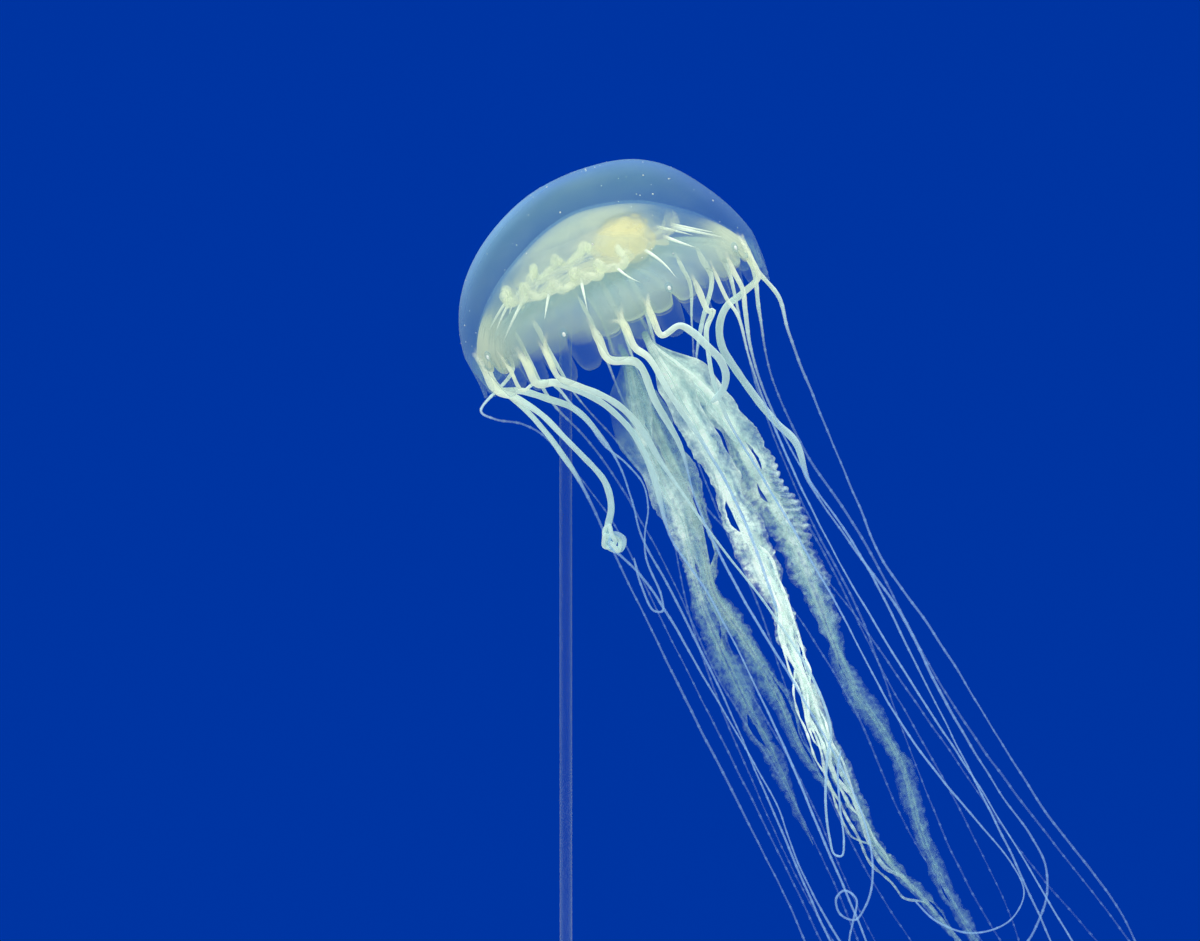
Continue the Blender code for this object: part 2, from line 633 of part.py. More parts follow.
def make_base(collection):
    """The stand's flat base: a straight-sided plate with round ends."""
    bm = bmesh.new()
    radius = BASE_WIDTH / 2
    bmesh.ops.create_circle(bm, cap_ends=True, radius=radius, segments=BASE_SEGMENTS)
    for vert in bm.verts:
        vert.co.x += math.copysign((BASE_LENGTH - BASE_WIDTH) / 2, vert.co.x + 1e-6)
    pushed = bmesh.ops.extrude_face_region(bm, geom=list(bm.faces))
    top = [item for item in pushed["geom"] if isinstance(item, bmesh.types.BMVert)]
    bmesh.ops.translate(bm, vec=(0, 0, BASE_THICKNESS), verts=top)
    rim = [edge for edge in bm.edges if all(v.co.z > 0.5 * BASE_THICKNESS for v in edge.verts)]
    bmesh.ops.bevel(
        bm, geom=rim, offset=BASE_EDGE, segments=1, profile=0.5, affect="EDGES", material=-1
    )
    return add("stand_base", mesh_from(bm, "stand_base"), collection, STAND_WHITE)


def make_rod(name, at, top, collection):
    """A slim upright rod with a round top, standing on the base."""
    bottom = BASE_THICKNESS + GAP
    profile = [(0.0, top)]
    for i in range(1, 4):
        turn = math.pi / 2 * i / 3
        height = top - ROD_RADIUS * (1 - math.cos(turn))
        profile.append((ROD_RADIUS * math.sin(turn), height))
    profile += [(ROD_RADIUS, bottom), (0.0, bottom)]
    mesh = turned(profile, ROD_SIDES, name, lambda point, angle: point)
    rod = add(name, mesh, collection, STAND_CLEAR)
    rod.location = (at.x, at.y, 0.0)
    return rod


clear_scene()
animal = new_collection("bay_nettle")
bell_centre = bpy.data.objects.new("bell_centre", None)
bell_centre.matrix_world = Matrix.Translation(MARGIN_CENTRE) @ tilt()
animal.objects.link(bell_centre)
make_dome(animal, bell_centre)
make_lappets(animal, bell_centre)
make_stomach(animal, bell_centre)
make_stem(animal, bell_centre)
for arm_name, arm_bends in ARMS.items():
    make_arm(arm_name, arm_bends, animal)
for each in TENTACLES:
    make_tentacle(each, animal)
make_base(animal)
make_rod("stand_rod_bell", BELL_ROD_AT, BELL_ROD_TOP, animal)
make_rod("stand_rod_tail", TAIL_ROD_AT, TAIL_ROD_TOP, animal)
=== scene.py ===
import math
import random
from collections import namedtuple

import bmesh
import bpy
from mathutils import Matrix, Vector, noise


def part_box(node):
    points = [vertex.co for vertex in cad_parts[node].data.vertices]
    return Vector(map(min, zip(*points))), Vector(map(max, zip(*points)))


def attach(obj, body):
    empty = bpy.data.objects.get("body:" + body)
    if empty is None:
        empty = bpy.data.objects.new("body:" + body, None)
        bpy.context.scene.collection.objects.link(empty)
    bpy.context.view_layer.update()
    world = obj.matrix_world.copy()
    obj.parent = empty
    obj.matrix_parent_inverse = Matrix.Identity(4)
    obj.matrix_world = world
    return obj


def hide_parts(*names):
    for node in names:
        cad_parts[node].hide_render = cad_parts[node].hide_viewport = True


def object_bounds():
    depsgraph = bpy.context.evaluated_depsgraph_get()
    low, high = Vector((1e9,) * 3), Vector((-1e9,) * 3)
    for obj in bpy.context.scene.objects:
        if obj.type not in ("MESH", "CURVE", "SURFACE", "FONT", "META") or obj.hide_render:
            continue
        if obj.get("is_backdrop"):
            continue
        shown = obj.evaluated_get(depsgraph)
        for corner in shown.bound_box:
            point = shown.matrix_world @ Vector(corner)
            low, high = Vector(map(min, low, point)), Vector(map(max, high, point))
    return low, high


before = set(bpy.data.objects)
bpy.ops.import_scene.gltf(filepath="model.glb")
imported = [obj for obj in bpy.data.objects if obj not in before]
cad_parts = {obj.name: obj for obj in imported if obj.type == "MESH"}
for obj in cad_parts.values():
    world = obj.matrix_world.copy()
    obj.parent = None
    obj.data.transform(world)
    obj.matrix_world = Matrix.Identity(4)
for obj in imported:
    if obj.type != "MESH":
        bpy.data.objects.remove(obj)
cad_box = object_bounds()

# ---------------------------------------------------------------------------------------------
# The room: a round pale table under the stand, a plain blue backdrop all round, and soft lamps
# above and to the front. The camera looks a little down on the animal through a long lens.
MM = 0.001
MARGIN_CENTRE = Vector((-38.0, 0.0, 272.0)) * MM  # the middle of the bell's rim
VIEW_CENTRE = MARGIN_CENTRE + Vector((-7.0, 0.0, -47.6)) * MM
VIEW_WIDTH = 381.6 * MM
CAMERA_DISTANCE = 1.5
CAMERA_RISE = math.radians(4.0)
CAMERA_SENSOR = 36.0  # millimetres of film
FLOOR_RADIUS = 0.34
FLOOR_THICKNESS = 0.012
FLOOR_GREY = (0.50, 0.51, 0.53)
FLOOR_PALE = (0.55, 0.56, 0.58)
BACKDROP = (0.0, 0.035, 0.36, 1.0)
ROOM_WHITE = (0.93, 0.97, 1.0, 1.0)
ROOM_STRENGTH = 0.34
LAMP_TARGET = (0.0, 0.0, 0.22)
# name, place, size, watts
LAMPS = (
    ("lamp_above", (-0.20, -0.15, 1.40), 0.80, 15.0),
    ("lamp_front", (-0.75, -1.15, 0.75), 0.70, 9.0),
    ("lamp_side", (1.05, -0.35, 0.55), 0.60, 3.5),
)
GRAIN_FINER = 7.0  # how much finer the grain is than the clouds
DOUBLES = 0.002 * MM  # points nearer than this are one point
CLEAR_LAYERS = 64  # how many see-through skins a ray of light may cross


def linked_object(name, data):
    made = bpy.data.objects.new(name, data)
    bpy.context.scene.collection.objects.link(made)
    return made


def aimed(obj, place, target):
    obj.location = place
    obj.rotation_euler = (Vector(target) - Vector(place)).to_track_quat("-Z", "Y").to_euler()


def mesh_of(bm, name):
    """A finished bmesh as a smooth-shaded object: doubles merged, faces outwards."""
    bmesh.ops.remove_doubles(bm, verts=bm.verts, dist=DOUBLES)
    bmesh.ops.recalc_face_normals(bm, faces=bm.faces)
    mesh = bpy.data.meshes.new(name)
    bm.to_mesh(mesh)
    bm.free()
    mesh.shade_smooth()
    return linked_object(name, mesh)


def join(tree, value, socket):
    """Links a value that nodes work out to an input, or sets a plain one on it."""
    if isinstance(value, bpy.types.NodeSocket):
        tree.links.new(value, socket)
    else:
        socket.default_value = value


def node(tree, kind, *values, **named):
    """A new node: its properties and named inputs set, and its first inputs given their values."""
    made = tree.nodes.new(kind)
    for key, value in named.items():
        if hasattr(made, key):
            setattr(made, key, value)
        else:
            join(tree, value, made.inputs[key.replace("_", " ")])
    for socket, value in zip(made.inputs, values):
        join(tree, value, socket)
    return made


def feed(tree, **inputs):
    """Gives a finish's own shader its inputs."""
    for key, value in inputs.items():
        join(tree, value, tree.nodes["Principled BSDF"].inputs[key.replace("_", " ")])


def new_finish(name, roughness, specular=0.5):
    """A node material and its node tree."""
    made = bpy.data.materials.new(name)
    made.use_nodes = True
    feed(made.node_tree, Roughness=roughness, Specular_IOR_Level=specular)
    return made, made.node_tree


def noise_in(tree, place, scale, detail, roughness=0.6):
    made = node(tree, "ShaderNodeTexNoise", place, Scale=scale, Detail=detail, Roughness=roughness)
    return made.outputs["Fac"]


def grain_group():
    """Soft clouds and fine grain on an object's own coordinates, for every surface here."""
    group = bpy.data.node_groups.new("flesh_grain", "ShaderNodeTree")
    for name, way in (("Scale", "INPUT"), ("Cloud", "OUTPUT"), ("Grain", "OUTPUT")):
        group.interface.new_socket(name, in_out=way, socket_type="NodeSocketFloat")
    scale = group.nodes.new("NodeGroupInput").outputs["Scale"]
    place = group.nodes.new("ShaderNodeTexCoord").outputs["Object"]
    finer = node(group, "ShaderNodeMath", scale, GRAIN_FINER, operation="MULTIPLY").outputs[0]
    cloud = noise_in(group, place, scale, 3.0, 0.55)
    grain = noise_in(group, place, finer, 2.0)
    node(group, "NodeGroupOutput", cloud, grain)
    return group


FLESH_GRAIN = grain_group()


def grain_in(tree, scale):
    """The clouds and the grain, placed in one finish at its own scale."""
    made = node(tree, "ShaderNodeGroup", node_tree=FLESH_GRAIN)
    made.inputs["Scale"].default_value = scale
    return made.outputs["Cloud"], made.outputs["Grain"]


def ramp_in(tree, value, stops):
    """A colour ramp on a value, from two or more stops of (place, colour)."""
    made = node(tree, "ShaderNodeValToRGB", value)
    ramp = made.color_ramp.elements
    for i, (place, colour) in enumerate(stops):
        stop = ramp[i] if i < 2 else ramp.new(place)
        stop.position = place
        stop.color = (*colour, 1.0)
    return made.outputs["Color"]


floor_bm = bmesh.new()
bmesh.ops.create_cone(
    floor_bm,
    cap_ends=True,
    segments=96,
    radius1=FLOOR_RADIUS,
    radius2=FLOOR_RADIUS,
    depth=FLOOR_THICKNESS,
    matrix=Matrix.Translation((0, 0, -FLOOR_THICKNESS / 2)),
)
floor = mesh_of(floor_bm, "floor")
floor.data.set_sharp_from_angle(angle=math.radians(40))
pale_table, tree = new_finish("pale_table", 0.7)
cloud, _ = grain_in(tree, 40.0)
feed(tree, Base_Color=ramp_in(tree, cloud, ((0.2, FLOOR_GREY), (0.8, FLOOR_PALE))))
floor.data.materials.append(pale_table)
floor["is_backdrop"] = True

world = bpy.data.worlds.new("studio")
bpy.context.scene.world = world
world.use_nodes = True
tree = world.node_tree
tree.nodes.clear()
seen = tree.nodes.new("ShaderNodeLightPath").outputs["Is Camera Ray"]
room = node(tree, "ShaderNodeBackground", Color=ROOM_WHITE, Strength=ROOM_STRENGTH).outputs[0]
backdrop = node(tree, "ShaderNodeBackground", Color=BACKDROP, Strength=1.0).outputs[0]
either = node(tree, "ShaderNodeMixShader", seen, room, backdrop).outputs[0]
node(tree, "ShaderNodeOutputWorld", either)

for lamp_name, lamp_place, lamp_size, lamp_watts in LAMPS:
    lamp_data = bpy.data.lights.new(lamp_name, "AREA")
    lamp_data.shape = "DISK"
    lamp_data.size = lamp_size
    lamp_data.energy = lamp_watts
    aimed(linked_object(lamp_name, lamp_data), lamp_place, LAMP_TARGET)

lens = bpy.data.cameras.new("camera")
lens.sensor_width = CAMERA_SENSOR
lens.lens = CAMERA_SENSOR * CAMERA_DISTANCE / VIEW_WIDTH
camera = linked_object("camera", lens)
camera_away = Vector((0.0, -math.cos(CAMERA_RISE), math.sin(CAMERA_RISE)))
aimed(camera, VIEW_CENTRE + camera_away * CAMERA_DISTANCE, VIEW_CENTRE)
bpy.context.scene.camera = camera
bpy.context.scene.view_settings.view_transform = "Standard"
bpy.context.scene.cycles.transparent_max_bounces = CLEAR_LAYERS

# ---------------------------------------------------------------------------------------------
# The stand: a satin white plate on a thin dark pad, and two clear acrylic rods, each held in a
# small turned collar. The long rod reaches up into the bell, the short one under an arm.
BASE_LENGTH = 200.0 * MM
BASE_WIDTH = 100.0 * MM
BASE_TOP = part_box("stand_base")[1].z
PAD_THICKNESS = 1.2 * MM
PAD_INSET = 4.0 * MM
PAD_GAP = 0.05 * MM  # under the plate
PLATE_EDGE = 2.2 * MM
PLATE_SIDES = 128
COLLAR_RADIUS = 5.0 * MM
COLLAR_HEIGHT = 7.0 * MM
COLLAR_GAP = 0.05 * MM  # round the rod, and over the plate
ROD_RADIUS = 2.0 * MM
ROD_GAP = 0.2 * MM  # over the plate
WHITE_SATIN = (0.76, 0.77, 0.77)
WORN_FELT = (0.10, 0.10, 0.12)
ROD_BLUE = (0.28, 0.50, 0.70)
ROD_DEEP = (0.22, 0.42, 0.62)
STEEL = (0.62, 0.63, 0.65)


def plate(name, inset, low, high, edge):
    """A flat plate with straight sides and round ends, its top edge eased."""
    bm = bmesh.new()
    bmesh.ops.create_circle(bm, cap_ends=True, radius=BASE_WIDTH / 2 - inset, segments=PLATE_SIDES)
    for vert in bm.verts:  # half of them to each end, and the two between them to +X
        vert.co.x += math.copysign((BASE_LENGTH - BASE_WIDTH) / 2, vert.co.x + 1e-6)
    pushed = bmesh.ops.extrude_face_region(bm, geom=list(bm.faces))["geom"]
    top = [item for item in pushed if isinstance(item, bmesh.types.BMVert)]
    bmesh.ops.translate(bm, vec=(0, 0, high - low), verts=top)
    bmesh.ops.translate(bm, vec=(0, 0, low), verts=bm.verts)
    if edge:
        middle = (low + high) / 2
        rim = [e for e in bm.edges if all(v.co.z > middle for v in e.verts)]
        bmesh.ops.bevel(
            bm, geom=rim, offset=edge, segments=5, profile=0.5, affect="EDGES", material=-1
        )
    made = mesh_of(bm, name)
    made.data.set_sharp_from_angle(angle=math.radians(50))
    return made


def spun(bm, points, closed, steps):
    """Joins points into a profile, closed or open, and spins it all round Z."""
    verts = [bm.verts.new(point) for point in points]
    edges = [bm.edges.new(pair) for pair in zip(verts, verts[1:])]
    if closed:
        edges.append(bm.edges.new((verts[-1], verts[0])))
    bmesh.ops.spin(
        bm,
        geom=verts + edges,
        cent=(0, 0, 0),
        axis=(0, 0, 1),
        angle=math.tau,
        steps=steps,
        use_merge=True,
    )


def turned(profile, steps, name):
    """A profile of (radius, height), from the axis to the axis or closed, spun about Z."""
    bm = bmesh.new()
    spun(bm, [(radius, 0.0, height) for radius, height in profile], False, steps)
    return mesh_of(bm, name)


def stepped(start, end, steps):
    """Evenly spaced values from one to the other, both included."""
    return [start + (end - start) * i / steps for i in range(steps + 1)]


def dimmed(tone, share):
    return tuple(share * c for c in tone)


def two_tone(tree, value, tone, shade, low=0.3, high=0.7):
    """A tone that clouds or grain darken in places, by so great a share."""
    return ramp_in(tree, value, ((low, dimmed(tone, shade)), (high, tone)))


def spread_in(tree, value, low, high, to_low=0.0, to_high=1.0):
    """A value stretched from one range to another and held inside it."""
    return node(tree, "ShaderNodeMapRange", value, low, high, to_low, to_high).outputs["Result"]


def facing_in(tree, blend):
    """0 where a surface is seen square on, and 1 where it is seen edge-on."""
    return node(tree, "ShaderNodeLayerWeight", Blend=blend).outputs["Facing"]


def bump_in(tree, height, strength, distance):
    made = node(tree, "ShaderNodeBump", Strength=strength, Distance=distance, Height=height)
    feed(tree, Normal=made.outputs["Normal"])


base_plate = plate("base_plate", 0.0, PAD_THICKNESS, BASE_TOP, PLATE_EDGE)
satin, tree = new_finish("satin_white", 0.42)
cloud, grain = grain_in(tree, 220.0)
feed(tree, Base_Color=two_tone(tree, cloud, WHITE_SATIN, 0.95, 0.25, 0.75))
bump_in(tree, grain, 0.15, 0.1 * MM)
base_plate.data.materials.append(satin)
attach(base_plate, "root")
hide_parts("stand_base")

base_pad = plate("base_pad", PAD_INSET, 0.0, PAD_THICKNESS - PAD_GAP, 0.0)
felt, tree = new_finish("dark_felt", 0.95)
_, grain = grain_in(tree, 900.0)
feed(tree, Base_Color=two_tone(tree, grain, WORN_FELT, 0.5, 0.3, 0.8))
base_pad.data.materials.append(felt)
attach(base_pad, "root")

acrylic, tree = new_finish("clear_acrylic", 0.06)
cloud, _ = grain_in(tree, 60.0)
feed(
    tree,
    Base_Color=ramp_in(tree, cloud, ((0.3, ROD_DEEP), (0.7, ROD_BLUE))),
    Alpha=spread_in(tree, facing_in(tree, 0.45), 0.1, 0.95, 0.03, 0.30),
)

steel, tree = new_finish("turned_steel", 0.28)
cloud, grain = grain_in(tree, 300.0)
feed(tree, Metallic=1.0, Base_Color=two_tone(tree, cloud, STEEL, 0.85, 0.2, 0.8))
bump_in(tree, grain, 0.1, 0.05 * MM)

for rod_name in ("stand_rod_bell", "stand_rod_tail"):
    low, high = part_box(rod_name)
    at = Matrix.Translation(((low.x + high.x) / 2, (low.y + high.y) / 2, 0.0))
    rod_profile = [(0.0, BASE_TOP + ROD_GAP), (ROD_RADIUS, BASE_TOP + ROD_GAP)]
    for turn in stepped(0.0, math.pi / 2, 12):
        height = high.z - ROD_RADIUS * (1.0 - math.sin(turn))
        rod_profile.append((ROD_RADIUS * math.cos(turn), height))
    rod = turned(rod_profile, 48, rod_name.replace("stand", "clear"))
    rod.data.transform(at)
    rod.data.materials.append(acrylic)
    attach(rod, "root")
    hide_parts(rod_name)

    inside = ROD_RADIUS + COLLAR_GAP
    foot = BASE_TOP + COLLAR_GAP
    shoulder = BASE_TOP + 0.3 * COLLAR_HEIGHT
    collar_profile = [(inside, foot), (COLLAR_RADIUS, foot), (COLLAR_RADIUS, shoulder)]
    for turn in stepped(0.0, math.pi / 2, 8):
        sweep = COLLAR_RADIUS - 0.75 * (COLLAR_RADIUS - inside) * math.sin(turn)
        height = BASE_TOP + COLLAR_HEIGHT * (0.95 - 0.6 * math.cos(turn))
        collar_profile.append((sweep, height))
    collar_profile += [(inside, BASE_TOP + COLLAR_HEIGHT), (inside, foot)]
    collar = turned(collar_profile, 64, rod_name.replace("stand", "collar"))
    collar.data.set_sharp_from_angle(angle=math.radians(45))
    collar.data.transform(at)
    collar.data.materials.append(steel)
    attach(collar, "root")

# ---------------------------------------------------------------------------------------------
# The bell's clear jelly: one soft, watery skin from the crown down to the 32 flaps of its rim,
# thick over the crown and thin at the edge, with pale freckles that stand a little proud.
BELL_RADIUS = 50.0 * MM
BELL_HEIGHT = 49.5 * MM
BELL_FULLNESS = 2.15  # 2 is an ellipse, and more is squarer at the shoulder
BELL_SIDEWAYS = 2.2 * MM
FLANKS_SIDEWAYS = 0.6 * BELL_SIDEWAYS
RIM_HEIGHT = 9.3 * MM
HOLLOW_RADIUS = 48.0 * MM
HOLLOW_HEIGHT = 38.0 * MM
HOLLOW_UPRIGHT = 1.8
HOLLOW_ROUND = 0.6
BELL_SLOTS = 32
FIRST_SENSE_ORGAN = math.radians(-19.0)
BELL_TURN = Matrix.Rotation(math.radians(5.8), 4, "X") @ Matrix.Rotation(math.radians(-23.6), 4, "Y")
BELL_PLACE = Matrix.Translation(MARGIN_CENTRE) @ BELL_TURN
BELL_STEPS = BELL_SLOTS * 12
BELL_UNEVEN = 0.6 * MM
UNEVEN_FINENESS = 42.0
UNEVEN_FROM = 12.0 * MM  # from the axis; nearer to it the crown is more even
SENSE_ORGANS = 8
FLUTE_DEPTH = 0.007  # of the radius, at the sense organs
FLUTE_TOP = 0.6 * BELL_HEIGHT
LAPPET_TIP = -4.0 * MM
LAPPET_CLEFT = 4.6 * MM
LAPPET_EDGE = 0.5 * MM
LAPPET_LENGTH = RIM_HEIGHT - LAPPET_TIP
LAPPET_CURL = 1.5 * MM
LAPPET_BLUNT = 3.2  # how square a flap's tip is
LAPPET_ROUND = 0.55
LAPPET_ROWS = 9
FRECKLE_COUNT = 64
FRECKLE_RADIUS = 0.22 * MM
FRECKLE_SIZES = (0.6, 0.8, 1.0, 1.0, 1.5)
FRECKLE_FLAT = 0.5
HIGHEST_FRECKLE = 1.45  # radians up from the rim's level, short of the crown
RIDGE_COUNT = 16  # one at every second cleft
CLEAR_JELLY = (0.28, 0.58, 0.47)
BLUE_JELLY = (0.21, 0.50, 0.66)  # bluer and a little darker, lower down the bell
CLOUDY_JELLY = (0.42, 0.66, 0.58, 1.0)
EDGE_JELLY = (0.25, 0.53, 0.84, 1.0)  # where the skin is seen edge-on
PAINTED_HIGHLIGHT_SHOULDER = (-30.0 * MM, 0.0, 38.0 * MM)  # where the edge line gets a painted highlight, round the upper-left shoulder
FRECKLE_WHITE = (0.90, 0.94, 0.90)


def on_bell(radius, angle, height):
    """A point round the upright bell, with the angle from -Y towards +X."""
    return Vector((radius * math.sin(angle), -radius * math.cos(angle), height))


def slot_angle(slot):
    return FIRST_SENSE_ORGAN + slot * math.tau / BELL_SLOTS


def outer_radius(height):
    share = max(0.0, 1.0 - (max(0.0, height) / BELL_HEIGHT) ** BELL_FULLNESS)
    return BELL_RADIUS * share ** (1.0 / BELL_FULLNESS)


def hollow_radius(height):
    share = max(0.0, 1.0 - (height / HOLLOW_HEIGHT) ** HOLLOW_UPRIGHT)
    return HOLLOW_RADIUS * share**HOLLOW_ROUND


def hollow_height(radius):
    share = 1.0 - (radius / HOLLOW_RADIUS) ** (1.0 / HOLLOW_ROUND)
    return HOLLOW_HEIGHT * share ** (1.0 / HOLLOW_UPRIGHT)


def sideways(height):
    """How far the living bell is off its axis at a height: crown to +X, flanks to -X."""
    up = max(0.0, height / BELL_HEIGHT)
    return BELL_SIDEWAYS * up**3 - FLANKS_SIDEWAYS * math.sin(math.pi * min(up, 1.0))


def smoothstep(share):
    share = min(1.0, max(0.0, share))
    return share * share * (3.0 - 2.0 * share)


def lappet_at(angle):
    """Which flap an angle falls in, and how far it is from the flap's middle, 1 at the cleft."""
    place = (angle - FIRST_SENSE_ORGAN) / math.tau * BELL_SLOTS
    number = math.floor(place)
    return number % BELL_SLOTS, abs(2.0 * (place - number) - 1.0)


def at_ridge(angle):
    """1 at each of the 16 ridges between the stomach's pouches, and 0 halfway between two."""
    return 0.5 + 0.5 * math.cos(RIDGE_COUNT * (angle - slot_angle(1)))


def flap_drop(point, angle):
    """Lengthens the middle of each flap, shortens its sides and curls its edge in or out."""
    below = (RIM_HEIGHT - point.z) / LAPPET_LENGTH
    if below <= 0.0:
        return point
    number, aside = lappet_at(angle)
    lobe = max(0.0, 1.0 - aside**LAPPET_BLUNT) ** LAPPET_ROUND
    cleft = (RIM_HEIGHT - LAPPET_CLEFT) / LAPPET_LENGTH
    longest = 1.0 + 0.14 * math.sin(2.3 * number) + 0.06 * math.sin(5.1 * number)
    drop = below * (cleft + (longest - cleft) * lobe)
    curl = LAPPET_CURL * (math.sin(1.7 * number + 0.6) - 0.5 - 0.6 * aside**2)
    radius = point.xy.length
    grown = (radius + curl * drop**2) / radius
    return Vector((point.x * grown, point.y * grown, RIM_HEIGHT - drop * LAPPET_LENGTH))


def as_living(point, angle):
    """A point of the perfect upright bell moved to where the live, tipped one has it."""
    point = flap_drop(point, angle)
    radius = point.xy.length
    low = max(0.0, 1.0 - max(point.z, 0.0) / FLUTE_TOP)
    flute = 1.0 - FLUTE_DEPTH * low * math.cos(SENSE_ORGANS * (angle - FIRST_SENSE_ORGAN))
    point = Vector((point.x * flute, point.y * flute, point.z))
    uneven = BELL_UNEVEN * noise.noise(point * UNEVEN_FINENESS) * min(1.0, radius / UNEVEN_FROM)
    point += point.normalized() * uneven
    point.x += sideways(point.z)
    return BELL_PLACE @ point


def bell_spin(profile, steps, name, reshape=as_living):
    """A profile of (radius, height), closed or from axis to axis, spun and then reshaped.

    Each point keeps as attributes its upright place and, as its round place, how far it is from
    its flap's middle and how many millimetres it is inside the skin, up to 1.
    """
    bm = bmesh.new()
    spun(bm, [on_bell(r, slot_angle(0), z) for r, z in profile], profile[0][0] > 0.0, steps)
    bmesh.ops.remove_doubles(bm, verts=bm.verts, dist=DOUBLES)
    upright = bm.verts.layers.float_vector.new("upright")
    round_place = bm.verts.layers.float_vector.new("round_place")
    for vert in bm.verts:
        angle = math.atan2(vert.co.x, -vert.co.y)
        vert[upright] = vert.co
        under = (outer_radius(vert.co.z) - vert.co.xy.length) / MM
        vert[round_place] = (lappet_at(angle)[1], min(1.0, under), 0.0)
        vert.co = reshape(vert.co.copy(), angle)
    return mesh_of(bm, name)


def sum_in(tree, operation, *values):
    """A sum worked out on two or more values, from left to right."""
    total = values[0]
    for value in values[1:]:
        total = node(tree, "ShaderNodeMath", total, value, operation=operation).outputs[0]
    return total


def distance_in(tree, place, point):
    made = node(tree, "ShaderNodeVectorMath", place, point, operation="DISTANCE")
    return made.outputs["Value"]


def place_in(tree, name):
    """An attribute of the mesh: the whole of it, and its three parts."""
    whole = node(tree, "ShaderNodeAttribute", attribute_name=name).outputs["Vector"]
    return whole, *node(tree, "ShaderNodeSeparateXYZ", whole).outputs


def blend_in(tree, share, one, two, kind="MIX"):
    """The first colour, changed into the second or multiplied by it as far as the share says."""
    made = node(tree, "ShaderNodeMix", share, data_type="RGBA", blend_type=kind)
    join(tree, one, made.inputs[6])
    join(tree, two, made.inputs[7])
    return made.outputs[2]


rim_turn = math.asin((RIM_HEIGHT / BELL_HEIGHT) ** (BELL_FULLNESS / 2.0))
rim_radius = outer_radius(RIM_HEIGHT)
rim_wall = rim_radius - hollow_radius(RIM_HEIGHT)
hollow_turn = math.asin(RIM_HEIGHT / HOLLOW_HEIGHT)
bell_profile = []
for turn in stepped(math.pi / 2, rim_turn, 40):
    height = BELL_HEIGHT * math.sin(turn) ** (2.0 / BELL_FULLNESS)
    bell_profile.append((outer_radius(height), height))
flap_heights = stepped(RIM_HEIGHT, LAPPET_TIP, LAPPET_ROWS)
bell_profile += [(rim_radius, height) for height in flap_heights[1:]]
for i in range(LAPPET_ROWS, -1, -1):
    wall = LAPPET_EDGE + (rim_wall - LAPPET_EDGE) * (1.0 - i / LAPPET_ROWS) ** 2
    bell_profile.append((rim_radius - wall, flap_heights[i]))
for turn in stepped(hollow_turn, math.pi / 2, 30)[1:]:
    height = HOLLOW_HEIGHT * math.sin(turn)
    bell_profile.append((hollow_radius(height), height))
bell_profile[0] = (0.0, BELL_HEIGHT)
bell_profile[-1] = (0.0, HOLLOW_HEIGHT)
bell_skin = bell_spin(bell_profile, BELL_STEPS, "bell_skin")

jelly, tree = new_finish("clear_jelly", 0.30, 0.25)
cloud, grain = grain_in(tree, 48.0)
upright, upright_x, _, upright_z = place_in(tree, "upright")
_, off_middle, under, _ = place_in(tree, "round_place")
edge = facing_in(tree, 0.30)
# The flaps are milky along their borders, and the rest a little in clouds.
flap_border = sum_in(
    tree,
    "MAXIMUM",
    spread_in(tree, off_middle, 0.45, 1.0),
    spread_in(tree, upright_z, -1.6 * MM, LAPPET_TIP),
)
on_flap = spread_in(tree, upright_z, 7.5 * MM, 2.0 * MM)
flap_milk = sum_in(tree, "MULTIPLY", on_flap, flap_border)
milk = sum_in(tree, "ADD", spread_in(tree, cloud, 0.40, 0.66, 0.0, 0.35), flap_milk)
high = spread_in(tree, upright_z, 12 * MM, 44 * MM)
tone = ramp_in(tree, high, ((0.0, BLUE_JELLY), (1.0, CLEAR_JELLY)))
milky = blend_in(tree, sum_in(tree, "MULTIPLY", milk, 0.8), tone, CLOUDY_JELLY)
# The skin is densest where it is seen edge-on, and its edge line is denser still round the upper-left
# shoulder, as a painted highlight.
film = spread_in(tree, edge, 0.10, 1.0, 0.105, 0.36)
flank = spread_in(tree, upright_x, 24 * MM, 42 * MM, 1.0, 0.6)
outline = spread_in(tree, edge, 0.40, 0.62)
# Painted highlight: the edge line is denser near the upper-left shoulder.
thick = spread_in(tree, distance_in(tree, upright, PAINTED_HIGHLIGHT_SHOULDER), 12 * MM, 30 * MM, 0.22, 0.03)
dense = sum_in(
    tree,
    "ADD",
    sum_in(tree, "MULTIPLY", film, flank),
    sum_in(tree, "MULTIPLY", outline, thick),
    sum_in(tree, "MULTIPLY", milk, 0.10),
)
under_skin = spread_in(tree, under, 0.3, 1.0, 1.0, 0.35)
feed(
    tree,
    IOR=1.15,
    Base_Color=blend_in(tree, outline, milky, EDGE_JELLY),
    Alpha=sum_in(tree, "MULTIPLY", dense, under_skin),
)
bump_in(tree, grain, 0.15, 0.15 * MM)
bell_skin.data.materials.append(jelly)
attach(bell_skin, "root")
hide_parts("bell_dome", "bell_lappets")

draws = random.Random(11)
freckles_bm = bmesh.new()
for i in range(FRECKLE_COUNT):
    angle = draws.uniform(0.0, math.tau)
    height = BELL_HEIGHT * math.sin(draws.uniform(rim_turn, HIGHEST_FRECKLE)) ** (2.0 / BELL_FULLNESS)
    place = as_living(on_bell(outer_radius(height), angle, height), angle)
    outwards = (place - BELL_PLACE @ Vector((0.0, 0.0, 0.3 * BELL_HEIGHT))).normalized()
    facing = outwards.to_track_quat("Z", "Y").to_matrix().to_4x4()
    flat = Matrix.Diagonal((1.0, 1.0, FRECKLE_FLAT, 1.0))
    bmesh.ops.create_icosphere(
        freckles_bm,
        subdivisions=1,
        radius=FRECKLE_RADIUS * draws.choice(FRECKLE_SIZES),
        matrix=Matrix.Translation(place) @ facing @ flat,
    )
freckles = mesh_of(freckles_bm, "bell_freckles")
freckle_finish, tree = new_finish("freckle_white", 0.4)
cloud, _ = grain_in(tree, 300.0)
feed(tree, Base_Color=two_tone(tree, cloud, FRECKLE_WHITE, 0.8), Alpha=0.7)
freckles.data.materials.append(freckle_finish)
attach(freckles, "root")

